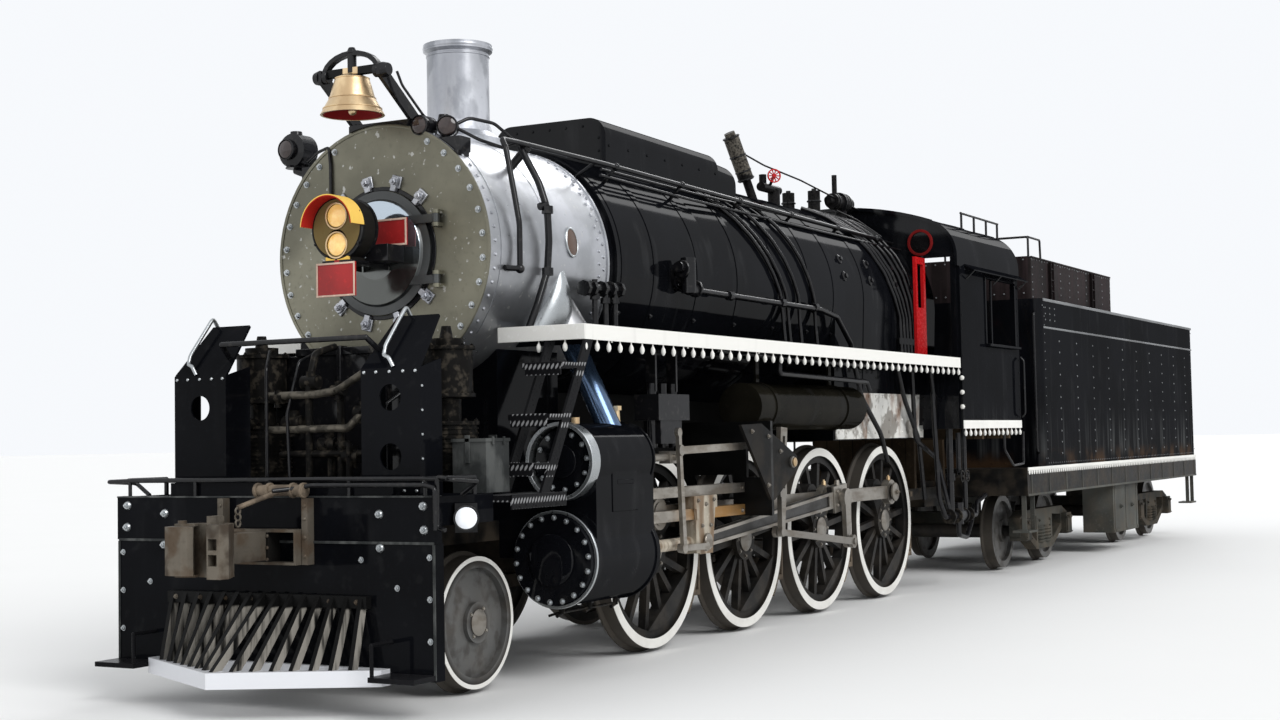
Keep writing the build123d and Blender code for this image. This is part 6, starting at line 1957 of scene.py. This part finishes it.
class LOCO_OT_tender_trim(bpy.types.Operator):
    """White fringe, sill flange, rails, ladder, lid, box straps and rear lamp of the tender"""

    bl_idname = "loco.tender_trim"
    bl_label = "Tender Trim"

    def execute(self, context):
        fringe = Shape()
        pitch = sizes().tooth_pitch * 1000
        for _ in each_side():
            fringe.block(TANK_REAR, -7670, HALF_WIDTH, HALF_WIDTH + 8, 1126, 1162)
            for x in spaced(-16250, -7720, pitch):
                outline = [
                    (x + 0.33 * pitch * cos(a), HALF_WIDTH, 1128 - 46 * sin(a))
                    for a in (pi * k / 6 for k in range(7))
                ]
                fringe.prism(outline, (0, 8, 0))
        fringe.piece("tender_fringe", "trim_white", "tender")
        flange = Shape()
        for _ in each_side():
            flange.block(-16310, -7660, HALF_WIDTH - 4, HALF_WIDTH + 6, 846, 872)
            for x in spaced(-16200, -7800, 700):
                flange.block(x - 10, x + 10, HALF_WIDTH - 4, HALF_WIDTH + 6, 872, 1084)
        flange.piece("tender_sill_flange", "box_grey", "tender", bevel=2)
        rails = both(
            [(-8395, 1300, 1300), (-8300, 1300, 1340), (-8300, 1300, 2900), (-8395, 1300, 2950)],
            [(-16290, 1300, 1400), (-16360, 1300, 1440), (-16360, 1300, 2600), (-16290, 1300, 2640)],
        )
        x = BUNKER[1] - 20
        rails.append([(x, -1030, 3630), (x, -1030, 3870), (x, 1030, 3870), (x, 1030, 3630)])
        rails += both([(x, 1030, 3870), (x - 480, 1030, 3870), (x - 500, 1030, 3630)])
        rails.append([(x, 0, 3630), (x, 0, 3870)])
        for y in (-980, -620):
            rails.append([(-16296, y, 1160), (-16350, y, 1200), (-16350, y, 3040), (-16296, y, 3060)])
        for z in spaced(1300, 2980, 280):
            rails.append([(-16350, -980, z), (-16350, -620, z)])
        piping("tender_rails", rails, 14, body="tender")
        lid = Shape()
        lid.turned([(0, 0), (312, 0), (312, 16), (280, 34), (0, 46)], (-14800, 0, 3008), UP, 40)
        for x, y in circle(6, 300):
            lid.bolt((-14800 + x, y, 3024), UP, 12)
        lid.block(-14840, -14760, -360, -290, 2960, 3040)
        lid.piece("hatch_lid", "tank_black", "tender", bevel=3)
        boxes = Shape()
        for _ in each_side():
            for x in (-12820, -12250, -11680):
                boxes.block(x - 20, x + 20, 1296, 1306, 240, 840)
            boxes.block(-12890, -11610, 1296, 1306, 800, 840)
            boxes.block(-12890, -11610, 1296, 1306, 236, 272)
            for x in (-12540, -11960):
                boxes.bolt((x, 1300, 560), ASIDE, 26)
        boxes.piece("underframe_box_straps", "box_grey", "tender", bevel=3)
        lamp = Shape()
        case = [(0, 0), (90, 10), (96, 60), (96, 150), (84, 156), (84, 140), (0, 140)]
        lamp.turned(case, (-16296, 0, 2900), (-1, 0, 0), 32)
        lamp.piece("rear_lamp", body="tender")
        glass = Shape()
        glass.turned([(0, 134), (82, 134), (70, 150), (0, 160)], (-16296, 0, 2900), (-1, 0, 0), 32)
        glass.piece("rear_lamp_glass", "clear_lens", "tender")
        return {"FINISHED"}


class LOCO_OT_truck_fittings(bpy.types.Operator):
    """Coil springs, journal lids and bolts of the tender trucks"""

    bl_idname = "loco.truck_fittings"
    bl_label = "Truck Fittings"

    def execute(self, context):
        for body, x in TRUCKS.items():
            springs = []
            lids = Shape()
            for side in each_side():
                for s in SIDES:
                    coil = []
                    for k in range(61):
                        a = 2 * pi * k / 12
                        coil.append((x + s * 120 + 90 * cos(a), side * 995 + 90 * sin(a), 258 + 186 * k / 60))
                    springs.append(coil)
                    jx = x + s * TRUCK_HALF_BASE
                    lids.block(jx - 88, jx + 88, 1118, 1134, 320, 520)
                    lids.block(jx - 60, jx + 60, 1120, 1150, 500, 530)
                    for dz in (330, 505):
                        for dx in (-96, 96):
                            lids.bolt((jx + dx, 1120, dz), ASIDE, 13)
                for dx in (-210, 210):
                    for z in (510, 300):
                        lids.bolt((x + dx, 1060, z), ASIDE, 16)
            lids.piece(f"{body}_lids", "truck_grey", body, bevel=3)
            piping(f"{body}_springs", springs, 15, "truck_grey", body, bend=12)
        return {"FINISHED"}


class LOCO_OT_turret_fittings(bpy.types.Operator):
    """Handwheel, flanges and pull rods of whistle and turret"""

    bl_idname = "loco.turret_fittings"
    bl_label = "Turret And Whistle"

    def execute(self, context):
        wheel = Shape()
        hub = Vector((-3896, 100, 4066))
        wheel.turned([(56, -7), (68, -7), (68, 7), (56, 7), (56, -7)], hub, (0.7, 0.7, 0), 24)
        wheel.turned([(0, -14), (18, -14), (18, 14), (0, 14)], hub, (0.7, 0.7, 0), 12)
        for angle in range(0, 180, 36):
            a = radians(angle)
            spoke = Vector((-0.7, 0.7, 0)) * cos(a) * 60 + Vector(UP) * sin(a) * 60
            wheel.rod(hub - spoke, hub + spoke, 6, sides=6)
        wheel.piece("red_handwheel", "signal_red")
        parts = Shape()
        base, tip = Vector((-3600, -55, 4000)), Vector((-3440, -132, 4400))
        for share, r in ((0.02, 84), (0.2, 80), (0.55, 82), (0.98, 84)):
            at = base + (tip - base) * share
            parts.disc(at, tip - base, r, 14, 24)
        for x in (-5300, -5240, -5180, -5060):
            parts.disc((x, 230, 3930), AHEAD, 104 if x > -5310 and x < -5170 else 86, 12, 24)
        for y in (-140, 140):
            parts.disc((-4760, y, 3900), UP, 74, 14, 20)
            parts.rod((-4760, y, 4010), (-4760, y, 4034), 24)
        for x, y in circle(6, 62):
            parts.bolt((-4100 + x, y, 3955), UP, 9)
        parts.piece("turret_flanges")
        pulls = [
            [(-3560, -60, 4250), (-3800, 40, 4160), (-4300, 200, 4060), (-5480, 320, 3880)],
            [(-5080, 230, 3850), (-5200, 420, 3740), (-5300, 640, 3560)],
        ]
        piping("whistle_pull", pulls, 9)
        return {"FINISHED"}


class LOCO_OT_stage(bpy.types.Operator):
    """Pale floor, soft lamps, surrounding light and the camera"""

    bl_idname = "loco.stage"
    bl_label = "Studio"

    def execute(self, context):
        scene = context.scene
        scene.view_settings.view_transform = "Standard"
        mesh = bpy.data.meshes.new("floor")
        edge = 400.0
        corners = [(edge * x, edge * y, 0) for x, y in ((-1, -1), (1, -1), (1, 1), (-1, 1))]
        mesh.from_pydata(corners, [], [(0, 1, 2, 3)])
        floor = bpy.data.objects.new("floor", mesh)
        scene.collection.objects.link(floor)
        look = Finish(bpy.data.materials.new("studio_floor"))
        cloud = look.noise(0.4, 4.0)
        look.shader(Base_Color=look.mix(cloud, shade(colours().floor, 0.97), colours().floor), Roughness=0.85)
        floor.data.materials.append(look.owner)

        world = bpy.data.worlds.new("studio_light")
        scene.world = world
        sky = Finish(world)
        path = sky.node("ShaderNodeLightPath")
        ports = path.out.node.outputs
        seen = path + Socket(sky, ports["Is Glossy Ray"]) + Socket(sky, ports["Is Transmission Ray"])
        ambient = scene.loco_stage.ambient
        sky.shader(Color=(0.93, 0.95, 0.98, 1.0), Strength=ambient + seen.lowest(1.0) * (1.0 - ambient))

        for name, place, angle, strength in (
            ("key_sun", (3.2, 8.0, 6.4), 32, scene.loco_stage.key),
            ("fill_sun", (9.0, -3.0, 5.0), 90, scene.loco_stage.fill),
            ("back_sun", (-8.8, -1.2, 4.8), 26, scene.loco_stage.back),
        ):
            light = bpy.data.lights.new(name, "SUN")
            light.energy = strength
            light.angle = radians(angle)
            lamp = bpy.data.objects.new(name, light)
            lamp.rotation_euler = (-Vector(place)).to_track_quat("-Z", "Y").to_euler()
            scene.collection.objects.link(lamp)

        yaw, pitch, roll = (radians(a) for a in (208.84, 2.97, -1.07))
        ahead = Vector((cos(yaw) * cos(pitch), sin(yaw) * cos(pitch), sin(pitch)))
        right = Vector((sin(yaw), -cos(yaw), 0))
        up = right.cross(ahead)
        right, up = right * cos(roll) + up * sin(roll), up * cos(roll) - right * sin(roll)
        data = bpy.data.cameras.new("camera")
        width, height, focal, centre_x, centre_y = 1280, 720, 1811, 638.7, 344.7
        data.sensor_width = 36.0
        data.lens = data.sensor_width * focal / width
        data.shift_x = (width / 2 - centre_x) / width
        data.shift_y = (centre_y - height / 2) / width
        data.clip_end = 2000
        camera = bpy.data.objects.new("camera", data)
        turn = Matrix((right, up, -ahead)).transposed().to_4x4()
        camera.matrix_world = Matrix.Translation((18.380, 7.299, 1.5886)) @ turn
        scene.collection.objects.link(camera)
        scene.camera = camera
        return {"FINISHED"}


OPERATORS = (
    LOCO_OT_finishes, LOCO_OT_smokebox_front, LOCO_OT_smokebox_sides, LOCO_OT_stack_trim,
    LOCO_OT_bell_fittings, LOCO_OT_headlight, LOCO_OT_plates, LOCO_OT_class_lamps, LOCO_OT_boiler_bands,
    LOCO_OT_boiler_pipes, LOCO_OT_board_trim, LOCO_OT_pump_pipes, LOCO_OT_deck_fittings,
    LOCO_OT_pilot_fittings, LOCO_OT_cylinder_fittings, LOCO_OT_motion_fittings, LOCO_OT_wheel_fittings,
    LOCO_OT_firebox_sheet, LOCO_OT_cab_trim, LOCO_OT_cab_controls, LOCO_OT_injector_pipes,
    LOCO_OT_tender_rivets, LOCO_OT_tender_trim, LOCO_OT_truck_fittings, LOCO_OT_turret_fittings,
    LOCO_OT_stage,
)


class LOCO_PT_dressing(bpy.types.Panel):
    """Lists the steps that dress the locomotive"""

    bl_idname = "LOCO_PT_dressing"
    bl_label = "Locomotive"
    bl_space_type = "VIEW_3D"
    bl_region_type = "UI"
    bl_category = "Locomotive"

    def draw(self, context):
        column = self.layout.column()
        for attribute, group in GROUPS.items():
            for name in group.__annotations__:
                column.prop(getattr(context.scene, attribute), name)
        for operator in OPERATORS:
            column.operator(operator.bl_idname)


CLASSES = (*GROUPS.values(), *OPERATORS, LOCO_PT_dressing)


def register():
    for cls in CLASSES:
        bpy.utils.register_class(cls)
    for attribute, group in GROUPS.items():
        setattr(bpy.types.Scene, attribute, bpy.props.PointerProperty(type=group))


def unregister():
    for attribute in GROUPS:
        delattr(bpy.types.Scene, attribute)
    for cls in reversed(CLASSES):
        bpy.utils.unregister_class(cls)


def main():
    register()
    for operator in OPERATORS:
        group, name = operator.bl_idname.split(".")
        getattr(getattr(bpy.ops, group), name)()


if __name__ == "__main__":
    main()
